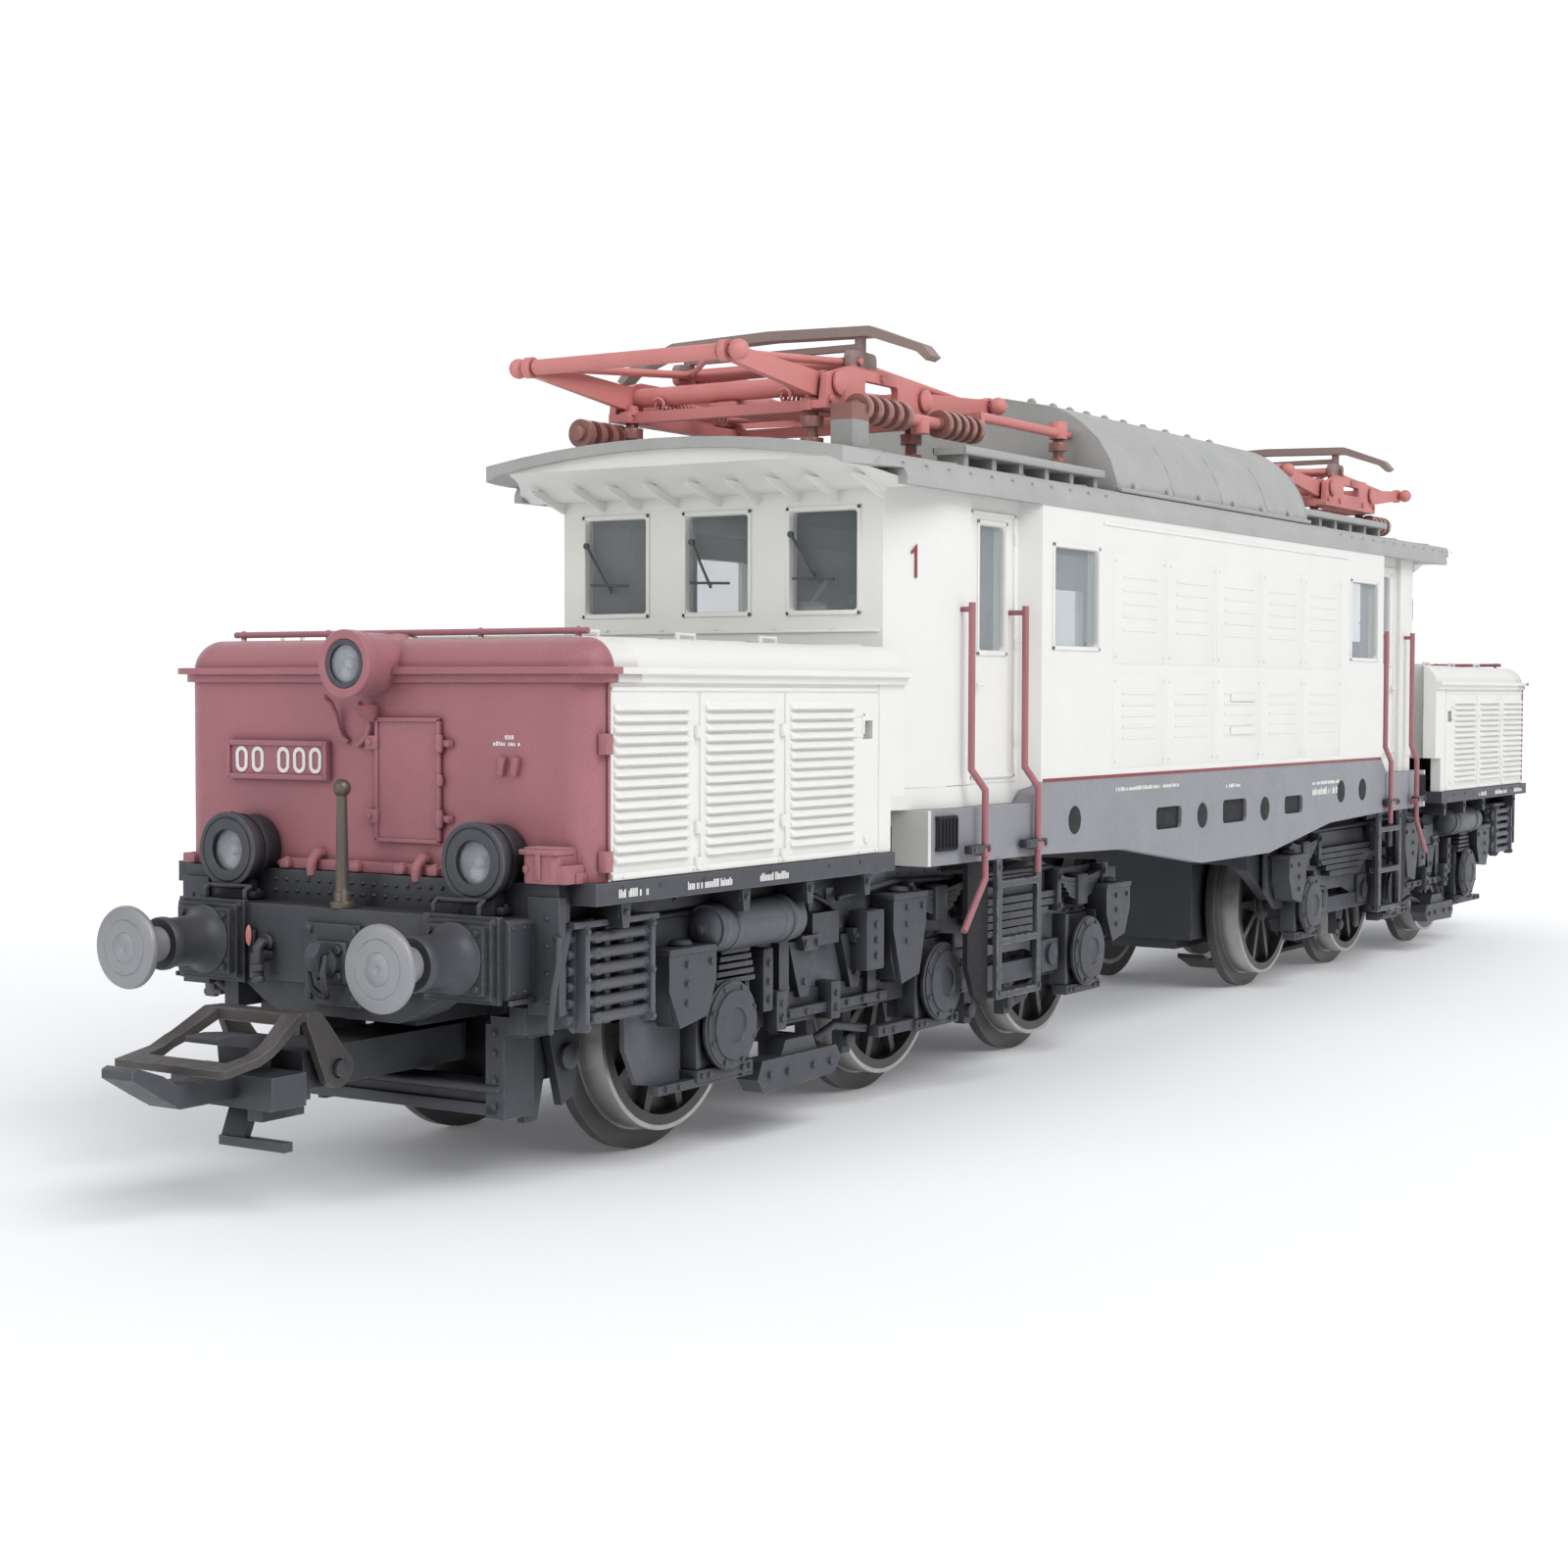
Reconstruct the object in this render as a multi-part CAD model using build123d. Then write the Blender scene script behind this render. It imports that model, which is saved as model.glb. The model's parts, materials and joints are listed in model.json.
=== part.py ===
from build123d import *
import math
import os

os.makedirs("parts", exist_ok=True)

# Model of a six-axle electric locomotive at 1:87: a bridge frame with two cabs and a machine
# room, carried on two swivelling three-axle bogies that also carry the end hoods.
# Frame: millimetres, +X along the length, the cab marked 1 at -X, +Y to its right, +Z up.
# z = 0 is the bottom of the wheel flanges. The rear end is the front end turned half a turn.

# ---------------------------------------------------------------- driving dimensions
HALF_OVER_BUFFERS = 106.9
BUFFER_Y, BUFFER_Z, BUFFER_R = 10.02, 14.5, 2.5
PIVOT_X = 52.3
AXLE_XS = (-78.9, -50.9, -26.0)
TREAD_R, FLANGE_R = 7.2, 8.6
AXLE_Z = FLANGE_R
AXLE_R, AXLE_BORE_R = 1.0, 1.06
WHEEL_BACK_Y, WHEEL_FACE_Y = 7.0, 9.84
RUN = 0.06

BODY_HALF_W = 17.24
BODY_BOTTOM, EAVES = 23.0, 44.0
WALL = 0.9
CAB_FRONT_X, CAB_HALF_W = 58.85, 14.17
PANEL_END_X, PANEL_END_Y = 52.8, 16.0
DOOR_X0, DOOR_X1, DOOR_Y = 49.1, 40.6, 15.5
MAIN_WALL_X = 39.9
FRAME_END_X, FRAME_BOTTOM, FRAME_STEP_Z = 56.5, 17.4, 21.4
ROOF_HALF_L, ROOF_HALF_W, ROOF_TIP_HALF_W = 66.6, 17.35, 15.5
ROOF_TOP, ROOF_T = 47.8, 0.75

FRONT_WINDOWS = ((-12.05, -6.4), (-2.75, 2.75), (6.4, 12.05))

HOOD_FRONT_X, HOOD_REAR_X, HOOD_WING_X, HOOD_CUT_X = 95.9, 61.1, 60.0, 61.9
HOOD_HALF_W, HOOD_BOTTOM, HOOD_TOP = 16.65, 18.8, 33.0
GUTTER_Z = 31.1
SEAM_X, SEAM_ROOF_X = 94.4, 91.6
HOOD_WALL = 1.0

BEAM_FRONT_X, BEAM_BACK_X, BEAM_HALF_W = 99.4, 96.6, 13.3
BEAM_BOTTOM, BEAM_TOP = 12.2, 16.8
LOWER_LAMP_Y, LOWER_LAMP_Z, LOWER_LAMP_R = 9.9, 19.9, 2.15
UPPER_LAMP_Z, UPPER_LAMP_R = 31.45, 1.9
LOWER_LENS_R, UPPER_LENS_R = 1.62, 1.4
TANK_Y, TANK_Z, TANK_R = -14.3, 14.9, 1.5

CHASSIS_Y0, CHASSIS_Y1 = 4.8, 6.4
GEAR_PLATE_Y0, GEAR_PLATE_Y1 = -3.9, -2.5
GEAR_Y0, GEAR_Y1 = -6.3, -4.7
GEAR_MODULE, BACKLASH = 0.4, 0.06
AXLE_TEETH, LOW_TEETH, MID_TEETH, PINION_TEETH = 22, 17, 24, 10
MOTOR_R, MOTOR_Y0, MOTOR_Y1 = 5.6, -2.3, 8.6

COUPLER_PIVOT_X = 91.0
SHOE_POST_XS = (44.0, 60.0)
BAIL_PIN_X, BAIL_PIN_Z = 103.0, 8.0

BUSBAR_Y = -10.9
PAN_X = 51.3
PAN_BASE_S, PAN_BASE_Z = 6.3, 52.0
PAN_KNEE_S, PAN_KNEE_Z = 18.9, 52.9
PAN_TOP_S, PAN_TOP_Z = 0.75, 54.3
HEAD_PIN_R = 0.26

TURN = Rot(0, 0, 180)


# ---------------------------------------------------------------- shape helpers
def block(x0, x1, y0, y1, z0, z1):
    """Box between two corners."""
    centre = ((x0 + x1) / 2, (y0 + y1) / 2, (z0 + z1) / 2)
    return Pos(*centre) * Box(abs(x1 - x0), abs(y1 - y0), abs(z1 - z0))


def rod_x(x0, x1, y, z, r):
    return Pos((x0 + x1) / 2, y, z) * Rot(0, 90, 0) * Cylinder(r, abs(x1 - x0))


def rod_y(y0, y1, x, z, r):
    return Pos(x, (y0 + y1) / 2, z) * Rot(90, 0, 0) * Cylinder(r, abs(y1 - y0))


def rod_z(z0, z1, x, y, r):
    return Pos(x, y, (z0 + z1) / 2) * Cylinder(r, abs(z1 - z0))


def prism_x(points, x0, x1):
    """Outline of (y, z) points run from x0 to x1."""
    face = make_face(Polyline(*[(x0, y, z) for y, z in points], close=True))
    return extrude(face, amount=x1 - x0, dir=(1, 0, 0))


def prism_y(points, y0, y1):
    """Outline of (x, z) points run from y0 to y1."""
    face = make_face(Polyline(*[(x, y0, z) for x, z in points], close=True))
    return extrude(face, amount=y1 - y0, dir=(0, 1, 0))


def prism_z(points, z0, z1):
    """Outline of (x, y) points run from z0 to z1."""
    face = make_face(Polyline(*[(x, y, z0) for x, y in points], close=True))
    return extrude(face, amount=z1 - z0, dir=(0, 0, 1))


def rod_between(a, b, r):
    """Straight round rod between two points."""
    start, end = Vector(*a), Vector(*b)
    axis = end - start
    return Plane(origin=(start + end) * 0.5, z_dir=axis) * Cylinder(r, axis.length)


def bent_rod(points, r):
    """Round rod along straight runs, with a ball in each bend."""
    pieces = [rod_between(a, b, r) for a, b in zip(points, points[1:])]
    return fuse(pieces + [Pos(*p) * Sphere(r) for p in points[1:-1]])


def fuse(shapes):
    """One shape from many."""
    first, *rest = shapes
    return first.fuse(*rest) if rest else first


def both_sides(shape):
    """The shape and its mirror image across the centre plane y = 0."""
    return [shape, mirror(shape, about=Plane.XZ)]


def four_corners(shape):
    """The shape, its mirror across y = 0, and both turned to the other end."""
    pair = both_sides(shape)
    return pair + [TURN * s for s in pair]


def both_ends(shape):
    return [shape, TURN * shape]


def save(name, shapes):
    """Write one node: every closed solid in the given shapes."""
    solids = [solid for shape in shapes for solid in shape.solids()]
    export_step(Compound(children=[Solid(s.wrapped) for s in solids]), f"parts/{name}.step")


def save_pair(name, shapes):
    """Write a bogie node for the front bogie and for the rear one."""
    save(f"front_{name}", shapes)
    save(f"rear_{name}", [TURN * s for s in shapes])


# ---------------------------------------------------------------- bridge frame
def bridge_frame():
    """Deep girder frame: a floor, two fish-bellied side plates and four step ends."""
    belly = [
        (-MAIN_WALL_X, FRAME_BOTTOM), (-24.5, 17.0), (-8.0, 14.9), (8.0, 14.9), (24.5, 17.0),
        (MAIN_WALL_X, FRAME_BOTTOM), (MAIN_WALL_X, BODY_BOTTOM), (-MAIN_WALL_X, BODY_BOTTOM),
    ]
    plate = prism_y(belly, -BODY_HALF_W, -BODY_HALF_W + 1.2)
    for x, width, height in ((-15.4, 5.4, 1.9), (-0.6, 5.6, 2.1), (14.3, 4.8, 1.7)):
        x0, z0 = x - width / 2, 19.2 - height / 2
        hole = block(x0, x0 + width, -BODY_HALF_W - 1, -16, z0, z0 + height)
        plate -= fillet(hole.edges().filter_by(Axis.Y), 0.45)
    for x, z in ((-33.9, 19.8), (-8.1, 19.1), (6.8, 19.1), (27.5, 20.0), (33.9, 20.0)):
        slot = Pos(x, -16.6, z) * Rot(90, 0, 0) * extrude(Ellipse(0.62, 1.15), amount=2, both=True)
        plate -= slot
    sides = both_sides(plate)
    floor = block(-MAIN_WALL_X, MAIN_WALL_X, -16.04, 16.04, FRAME_STEP_Z, BODY_BOTTOM)
    step_root_x = -MAIN_WALL_X + 1.6
    end_plan = [
        (-FRAME_END_X, -16.6), (-MAIN_WALL_X, -BODY_HALF_W), (step_root_x, -BODY_HALF_W),
        (step_root_x, BODY_HALF_W), (-MAIN_WALL_X, BODY_HALF_W), (-FRAME_END_X, 16.6),
    ]
    step = prism_z(end_plan, 20.2, FRAME_STEP_Z)
    skirt_plan = [(-FRAME_END_X, -16.6), (-MAIN_WALL_X, -BODY_HALF_W),
                  (-MAIN_WALL_X, -16.04), (-FRAME_END_X, -15.4)]
    skirt = prism_z(skirt_plan, FRAME_BOTTOM, 20.2)
    toe = block(-FRAME_END_X, -FRAME_END_X + 1.2, -16.6, -13.6, FRAME_BOTTOM, 20.2)
    raised = block(-CAB_FRONT_X + 1.2, -MAIN_WALL_X, -14.0, 14.0, FRAME_STEP_Z, BODY_BOTTOM - 0.2)
    raised &= prism_z(cab_plan(WALL + 0.1), 20, 24)
    gusset_line = [(-MAIN_WALL_X, FRAME_STEP_Z), (-MAIN_WALL_X - 1.6, FRAME_STEP_Z),
                   (-MAIN_WALL_X, BODY_BOTTOM)]
    gusset = prism_y(gusset_line, -BODY_HALF_W, -15.7)
    parts = [floor] + sides
    for piece in (step, raised):
        parts += both_ends(piece)
    for piece in (skirt, toe, gusset):
        parts += four_corners(piece)
    frame = fuse(parts)
    for x in (-PIVOT_X, PIVOT_X):
        frame -= rod_z(18, 24, x, 0, 1.5)
    for x, y in ((-30, -9), (30, 9)):
        frame -= rod_z(18, 24, x, y, 1.0)
    return frame


# ---------------------------------------------------------------- body shell, glazing, roof
def cab_plan(inset):
    """Plan outline of the body, both ends, moved inwards by the wall thickness."""
    quarter = [
        (CAB_FRONT_X - inset, CAB_HALF_W - inset * 0.8),
        (PANEL_END_X - inset * 0.3, PANEL_END_Y - inset),
        (DOOR_X0, PANEL_END_Y - inset),
        (DOOR_X0, DOOR_Y - inset),
        (DOOR_X1 - inset * 0.4, DOOR_Y - inset),
        (MAIN_WALL_X - inset * 0.4, BODY_HALF_W - inset),
    ]
    front_left = [(-x, -y) for x, y in quarter]
    rear_left = [(x, -y) for x, y in reversed(quarter)]
    rear_right = [(x, y) for x, y in quarter]
    front_right = [(-x, y) for x, y in reversed(quarter)]
    return front_left + rear_left + rear_right + front_right


def roof_section(inset):
    """Roof cross-section in the YZ plane, from eaves to eaves, moved inwards."""
    half, top = ROOF_HALF_W - inset, ROOF_TOP - inset
    eave, bend = EAVES + 0.25, 45.9 - inset
    shoulder, shoulder_z = 15.2 - inset, 46.55 - inset
    line = [
        Line((0, -half, eave), (0, -half, eave + 0.55)),
        ThreePointArc((0, -half, eave + 0.55), (0, -half + 0.75, bend), (0, -shoulder, shoulder_z)),
        ThreePointArc((0, -shoulder, shoulder_z), (0, 0, top), (0, shoulder, shoulder_z)),
        ThreePointArc((0, shoulder, shoulder_z), (0, half - 0.75, bend), (0, half, eave + 0.55)),
        Line((0, half, eave + 0.55), (0, half, eave)),
        Line((0, half, eave), (0, -half, eave)),
    ]
    return make_face(Wire(line))


def roof_prism(inset, half_length):
    return Pos(-half_length, 0, 0) * extrude(roof_section(inset), amount=2 * half_length, dir=(1, 0, 0))


def roof_outline(margin):
    """Plan of the roof: full width, drawn in and rounded at the overhanging ends."""
    tip, full = ROOF_TIP_HALF_W - margin, ROOF_HALF_W - margin
    end = ROOF_HALF_L - margin
    corner = [(-end, -tip), (-end + 2.2, -tip - 0.95), (-61.0, -full)]
    points = corner + [(-x, y) for x, y in reversed(corner)]
    points += [(-x, -y) for x, y in points]
    return prism_z(points, 40, 60)


def roof_panel():
    """Thin arched roof sheet with the overhanging visors, ribs and the two walkways."""
    slab = roof_prism(0, ROOF_HALF_L) & roof_outline(0)
    slab -= roof_prism(ROOF_T, ROOF_HALF_L + 1)
    eave_cut = block(-ROOF_HALF_L - 1, -61.0, -20, 20, 43, 45.35)
    slab = slab - eave_cut - TURN * eave_cut
    walkways = []
    for side in (-1, 1):
        for x0, x1 in ((-47.7, -23.4), (23.4, 47.7)):
            walkways.append(block(x0, x1, side * 11.95, side * 14.7, 47.55, 48.1))
            for i in range(6):
                x = x0 + 0.9 + i * (x1 - x0 - 1.8) / 5
                walkways.append(block(x - 0.35, x + 0.35, side * 12.0, side * 14.3, 46.0, 47.55))
    rib_line = [(-15.6, 45.9), (-15.6, 46.2), (0, 47.9), (15.6, 46.2), (15.6, 45.9), (0, 47.4)]
    ribs = [prism_x(rib_line, x, x + 0.5) for x in (-36.0, 35.5)]
    roof = fuse([slab] + walkways)
    for rib in ribs:
        roof = roof.fuse(rib - roof_prism(ROOF_T, ROOF_HALF_L))
    return roof


def hatch_section(half, top):
    line = [
        Line((0, -half, 46.0), (0, -half, 46.5)),
        ThreePointArc((0, -half, 46.5), (0, -half + 2.0, 51.2), (0, -half + 6.2, top - 1.0)),
        ThreePointArc((0, -half + 6.2, top - 1.0), (0, 0, top), (0, half - 6.2, top - 1.0)),
        ThreePointArc((0, half - 6.2, top - 1.0), (0, half - 2.0, 51.2), (0, half, 46.5)),
        Line((0, half, 46.5), (0, half, 46.0)),
        Line((0, half, 46.0), (0, -half, 46.0)),
    ]
    return make_face(Wire(line))


def roof_hatch():
    """Raised machine-room hood on the roof: a hollow arch with closed ends."""
    half_l, half_w, top = 22.3, 15.4, 55.0
    outer = Pos(-half_l, 0, 0) * extrude(hatch_section(half_w, top), amount=2 * half_l, dir=(1, 0, 0))
    outer -= roof_prism(0, ROOF_HALF_L)
    inner_section = hatch_section(half_w - 1, top - 1)
    inner = Pos(1 - half_l, 0, 0) * extrude(inner_section, amount=2 * half_l - 2, dir=(1, 0, 0))
    return outer - inner


def window_cut(x0, x1, y0, y1, z0, z1, axis):
    """Window opening with small corner radii along the given axis."""
    hole = block(x0, x1, y0, y1, z0, z1)
    return fillet(hole.edges().filter_by(axis), 0.35)


def window_openings():
    """Every window of one end: three cab-front ones, and on each side a door and a side one."""
    cuts = [window_cut(-61, -55, y0, y1, 35.7, 42.8, Axis.X) for y0, y1 in FRONT_WINDOWS]
    for side in (-1, 1):
        cuts.append(window_cut(-46.9, -42.9, side * 12.5, side * 18.5, 33.0, 42.3, Axis.Y))
        cuts.append(window_cut(-37.8, -30.0, side * 14.5, side * 18.5, 33.5, 41.1, Axis.Y))
    return cuts


def visor_lining():
    """Curved lining under the roof overhang, sprung from the cab front wall."""
    curve = [
        Line((-CAB_FRONT_X, 0, 43.6), (-CAB_FRONT_X, 0, 50)),
        Line((-CAB_FRONT_X, 0, 50), (-66.0, 0, 50)),
        Line((-66.0, 0, 50), (-66.0, 0, 45.9)),
        ThreePointArc((-66.0, 0, 45.9), (-61.6, 0, 44.95), (-CAB_FRONT_X, 0, 43.6)),
    ]
    lining = extrude(make_face(Wire(curve)), amount=20, dir=(0, 1, 0), both=True)
    return lining & roof_prism(ROOF_T, ROOF_HALF_L) & roof_outline(0.5)


def body_shell():
    """White body: walls on the stepped plan, lintel under the roof and the visor linings."""
    outer = prism_z(cab_plan(0), BODY_BOTTOM, 50)
    inner = prism_z(cab_plan(WALL), BODY_BOTTOM - 1, 50)
    ceiling = roof_prism(ROOF_T, ROOF_HALF_L)
    above = block(-70, 70, -20, 20, EAVES + 0.25, 60)
    walls = (outer - inner) - (above - ceiling)
    lintel = prism_z(cab_plan(WALL - 0.2), EAVES - 1.0, EAVES)
    lintel -= prism_z(cab_plan(WALL + 2.0), EAVES - 2, EAVES + 1)
    shell = walls.fuse(lintel)
    for end in (False, True):
        lining = visor_lining()
        shell = shell.fuse(TURN * lining if end else lining)
        for cut in window_openings():
            shell -= TURN * cut if end else cut
    return shell


def cab_glazing():
    """Clear panes set into the window openings, one per window."""
    panes = []
    for y0, y1 in FRONT_WINDOWS:
        panes.append(window_cut(-58.45, -58.05, y0 + 0.02, y1 - 0.02, 35.72, 42.78, Axis.X))
    for side in (-1, 1):
        door = side * (DOOR_Y - 0.6)
        wall = side * (BODY_HALF_W - 0.6)
        panes.append(window_cut(-46.88, -42.92, door, door + side * 0.35, 33.02, 42.28, Axis.Y))
        panes.append(window_cut(-37.78, -30.02, wall, wall + side * 0.35, 33.52, 41.08, Axis.Y))
    return panes + [TURN * pane for pane in panes]


def cab_handrails():
    """Bent red grab rails, two beside each cab door, with their clamps on the frame."""
    rails = []
    for x, foot, wall_y in ((-50.6, -53.2, -PANEL_END_Y), (-42.0, None, -DOOR_Y)):
        path = [(x, -16.9, 36.4), (x, -16.9, 24.2), (x + 0.6, -17.75, 22.7), (x + 0.6, -17.75, 16.2)]
        if foot is not None:
            path += [(foot, -17.75, 12.6)]
        rail = bent_rod(path, 0.26)
        tip = rod_between((x, -16.9, 35.9), (x, wall_y, 35.9), 0.2)
        clamp = block(x + 0.05, x + 1.15, -18.05, -17.2, 17.9, 18.5)
        rails.append(rail.fuse(tip, clamp))
    return [piece for rail in rails for piece in four_corners(rail)]


def boarding_ladder():
    """Two stiles and three rungs, hanging from the frame under the cab door."""
    y0, y1 = -17.2, -16.75
    stiles = [block(x - 0.35, x + 0.35, y0, y1, 6.9, FRAME_BOTTOM) for x in (-46.5, -39.9)]
    rungs = [block(-46.5, -39.9, y0, y1 + 0.7, z - 0.25, z + 0.25) for z in (15.5, 11.2, 7.15)]
    return fuse(stiles + rungs)


def frame_screws():
    """Two pivot screws that hold the bogies and two screws that hold the body."""
    screws = []
    for x in (-PIVOT_X, PIVOT_X):
        screws.append(fuse([rod_z(17.0, 22.7, x, 0, 1.5), rod_z(16.1, 17.0, x, 0, 2.6)]))
    for x, y in ((-30, -9), (30, 9)):
        head = rod_z(20.6, FRAME_STEP_Z, x, y, 1.7)
        slot = block(x - 1.7, x + 1.7, y - 0.2, y + 0.2, 20.5, 20.95)
        screws.append(fuse([rod_z(20.9, 26.0, x, y, 1.0), head]) - slot)
    return screws


def circuit_board():
    """Control board on two posts, with its decoder, a smoothing can and edge plugs."""
    board = block(-26, 26, -11, 11, 27.0, 28.0)
    posts = [rod_z(BODY_BOTTOM, 27.0, x, 0, 1.4) for x in (-20, 20)]
    chips = [block(-12, 2, -5, 5, 28.0, 30.0), block(8, 14, -3, 3, 28.0, 29.4)]
    can = rod_z(28.0, 35.0, 20, 5, 2.6)
    plug = block(-25, -21, -10, 10, 28.0, 30.4)
    return fuse([board] + posts + chips + [plug, can])


# ---------------------------------------------------------------- roof equipment
def ribbed_insulator_x(x0, x1, y, z):
    """Brown insulator lying along X: a core with thin sheds."""
    sheds = int((x1 - x0) / 1.25)
    pieces = [rod_x(x0, x1, y, z, 0.55)]
    pitch = (x1 - x0) / sheds
    pieces += [rod_x(x0 + (i + 0.25) * pitch, x0 + (i + 0.75) * pitch, y, z, 1.05) for i in range(sheds)]
    return fuse(pieces)


def ribbed_insulator_z(x, y, z0, z1, r):
    sheds = max(2, int((z1 - z0) / 1.1))
    pitch = (z1 - z0) / sheds
    pieces = [rod_z(z0, z1, x, y, r * 0.55)]
    pieces += [rod_z(z0 + (i + 0.25) * pitch, z0 + (i + 0.75) * pitch, x, y, r) for i in range(sheds)]
    return fuse(pieces)


def roof_insulators():
    """Insulators of one end: two in line by the near walkway, one at the far side, posts."""
    pieces = [
        ribbed_insulator_x(-57.5, -50.2, BUSBAR_Y, 50.2),
        ribbed_insulator_x(-45.4, -39.0, BUSBAR_Y, 50.2),
        ribbed_insulator_x(-64.0, -58.4, 9.0, 48.9),
        ribbed_insulator_z(-24.4, BUSBAR_Y, 46.9, 50.9, 0.8),
    ]
    pieces += [ribbed_insulator_z(x, y, 46.9, 50.0, 0.85) for x, y in pantograph_feet()]
    pieces[0] = pieces[0].fuse(block(-59.2, -56.9, BUSBAR_Y - 0.9, BUSBAR_Y + 0.9, 46.6, 50.4))
    pieces[2] = pieces[2].fuse(block(-59.4, -58.0, 8.2, 9.8, 46.6, 49.6))
    return [piece - roof_prism(0, ROOF_HALF_L) for piece in pieces]


def roof_busbars():
    """Red conductors joining the insulators to the machine room hatch."""
    joint = fuse([rod_x(-50.2, -45.4, BUSBAR_Y, 50.2, 0.45), rod_z(49.2, 50.2, -47.8, BUSBAR_Y, 0.7)])
    riser = block(-39.0, -38.4, BUSBAR_Y - 0.5, BUSBAR_Y + 0.5, 49.6, 51.7)
    bar = fuse([rod_x(-38.6, -24.4, BUSBAR_Y, 51.4, 0.4), rod_z(50.9, 52.3, -24.4, BUSBAR_Y, 0.75),
                riser, rod_x(-24.4, -22.3, BUSBAR_Y, 51.4, 0.3)])
    return [joint, bar]


def pantograph_feet():
    return [(-PAN_X - 7.2, -8.0), (-PAN_X - 7.2, 8.0), (-PAN_X + 7.2, -8.0), (-PAN_X + 7.2, 8.0)]


def pantograph_base():
    """Rectangular base frame with two bearing plates for the lower-arm shafts."""
    rails = [block(-PAN_X - 8.2, -PAN_X + 8.2, y - 0.4, y + 0.4, 50.0, 50.8) for y in (-8.0, 8.0)]
    ties = [block(x - 0.4, x + 0.4, -8.2, 8.2, 50.0, 50.8) for x in (-PAN_X - 7.2, -PAN_X + 7.2)]
    plate = prism_y([(-PAN_X - 8.0, 50.4), (-PAN_X + 8.0, 50.4), (-PAN_X + 7.6, 52.6), (-PAN_X + 4.6, 53.4),
                     (-PAN_X - 4.6, 53.4), (-PAN_X - 7.6, 52.6)], -9.6, -9.0)
    for s in (-PAN_BASE_S, PAN_BASE_S):
        plate -= rod_y(-10, -8, -PAN_X + s, PAN_BASE_Z, 0.56)
    window = block(-PAN_X - 2.4, -PAN_X + 2.4, -10, -8.8, 51.6, 52.6)
    plate -= fillet(window.edges().filter_by(Axis.Y), 0.3)
    web = block(-PAN_X - 8.0, -PAN_X + 8.0, -9.6, -8.0, 50.1, 50.7)
    return fuse(rails + ties + both_sides(plate) + both_sides(web))


def lower_arm(side):
    """Lower arm frame: base shaft, two tapered flat arms, and a drive lever boss."""
    x_base, x_knee = -PAN_X + side * PAN_BASE_S, -PAN_X + side * PAN_KNEE_S
    shaft = rod_y(-9.75, 9.75, x_base, PAN_BASE_Z, 0.5)
    sleeve = rod_y(-8.4, 8.4, x_base, PAN_BASE_Z, 0.72)
    x_back, x_fore = x_base - side * 0.7, x_base + side * 1.2
    arm_line = [(x_back, PAN_BASE_Z - 0.95), (x_fore, PAN_BASE_Z - 1.0), (x_knee, PAN_KNEE_Z - 0.55),
                (x_knee, PAN_KNEE_Z + 0.55), (x_fore, PAN_BASE_Z + 0.8), (x_back, PAN_BASE_Z + 0.7)]
    bosses = [rod_y(-8.7, -8.1, x_knee, PAN_KNEE_Z, 0.75), rod_y(-8.7, -8.1, x_base, PAN_BASE_Z, 1.0)]
    arm = fuse([prism_y(arm_line, -8.7, -8.1)] + bosses)
    arm -= rod_y(-9, -8, x_knee, PAN_KNEE_Z, 0.42)
    return fuse([shaft, sleeve] + both_sides(arm))


def upper_arm(side):
    """Upper arm frame: knee tube with end knobs, two slim rods, a brace and the top tube.

    The outer arm's top tube ends in the pins that carry the head; the inner arm's is the open pivot.
    """
    x_knee, x_top = -PAN_X + side * PAN_KNEE_S, -PAN_X + side * PAN_TOP_S
    knee = fuse([rod_y(-7.9, 7.9, x_knee, PAN_KNEE_Z, 0.55), rod_y(-9.1, 9.1, x_knee, PAN_KNEE_Z, 0.36)])
    knobs = [Pos(x_knee, y, PAN_KNEE_Z) * Sphere(0.72) for y in (-9.45, 9.45)]
    knobs = [k - block(x_knee - 2, x_knee + 2, -8.9, 8.9, 50, 56) for k in knobs]
    top = rod_y(-7.3, 7.3, x_top, PAN_TOP_Z, 0.42)
    rods = [rod_between((x_knee, y, PAN_KNEE_Z), (x_top, y * 0.93, PAN_TOP_Z), 0.3) for y in (-7.6, 7.6)]
    brace = rod_between((x_knee, -7.4, PAN_KNEE_Z), (x_top, 7.0, PAN_TOP_Z), 0.22)
    pin = [rod_y(-8.3, 8.3, x_top, PAN_TOP_Z, HEAD_PIN_R)] if side < 0 else []
    return fuse([knee, top, brace] + knobs + rods + pin)


def pantograph_head():
    """Collector: two hanger plates over the top tubes, posts and the bent contact bow."""
    plates = []
    for y0, y1 in ((-8.05, -7.45), (7.45, 8.05)):
        plate = block(-PAN_X - 1.9, -PAN_X + 1.9, y0, y1, 53.5, 55.1)
        plate = fillet(plate.edges().filter_by(Axis.Y), 0.5)
        plates.append(plate - rod_y(y0 - 1, y1 + 1, -PAN_X - PAN_TOP_S, PAN_TOP_Z, HEAD_PIN_R + RUN))
        plates.append(block(-PAN_X - 0.35, -PAN_X + 0.35, y0, y1, 55.0, 56.3))
    tie = block(-PAN_X - 0.3, -PAN_X + 0.3, -8.0, 8.0, 55.2, 55.7)
    flat = [(-14.2, 54.3), (-13.4, 55.2), (-8.9, 56.9), (0, 57.15), (8.9, 56.9), (13.4, 55.2), (14.2, 54.3),
            (13.7, 54.0), (12.9, 54.7), (8.7, 56.15), (0, 56.4), (-8.7, 56.15), (-12.9, 54.7), (-13.7, 54.0)]
    bow = prism_x(flat, -PAN_X - 0.75, -PAN_X + 0.75)
    return fuse(plates + [tie, bow])


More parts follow.
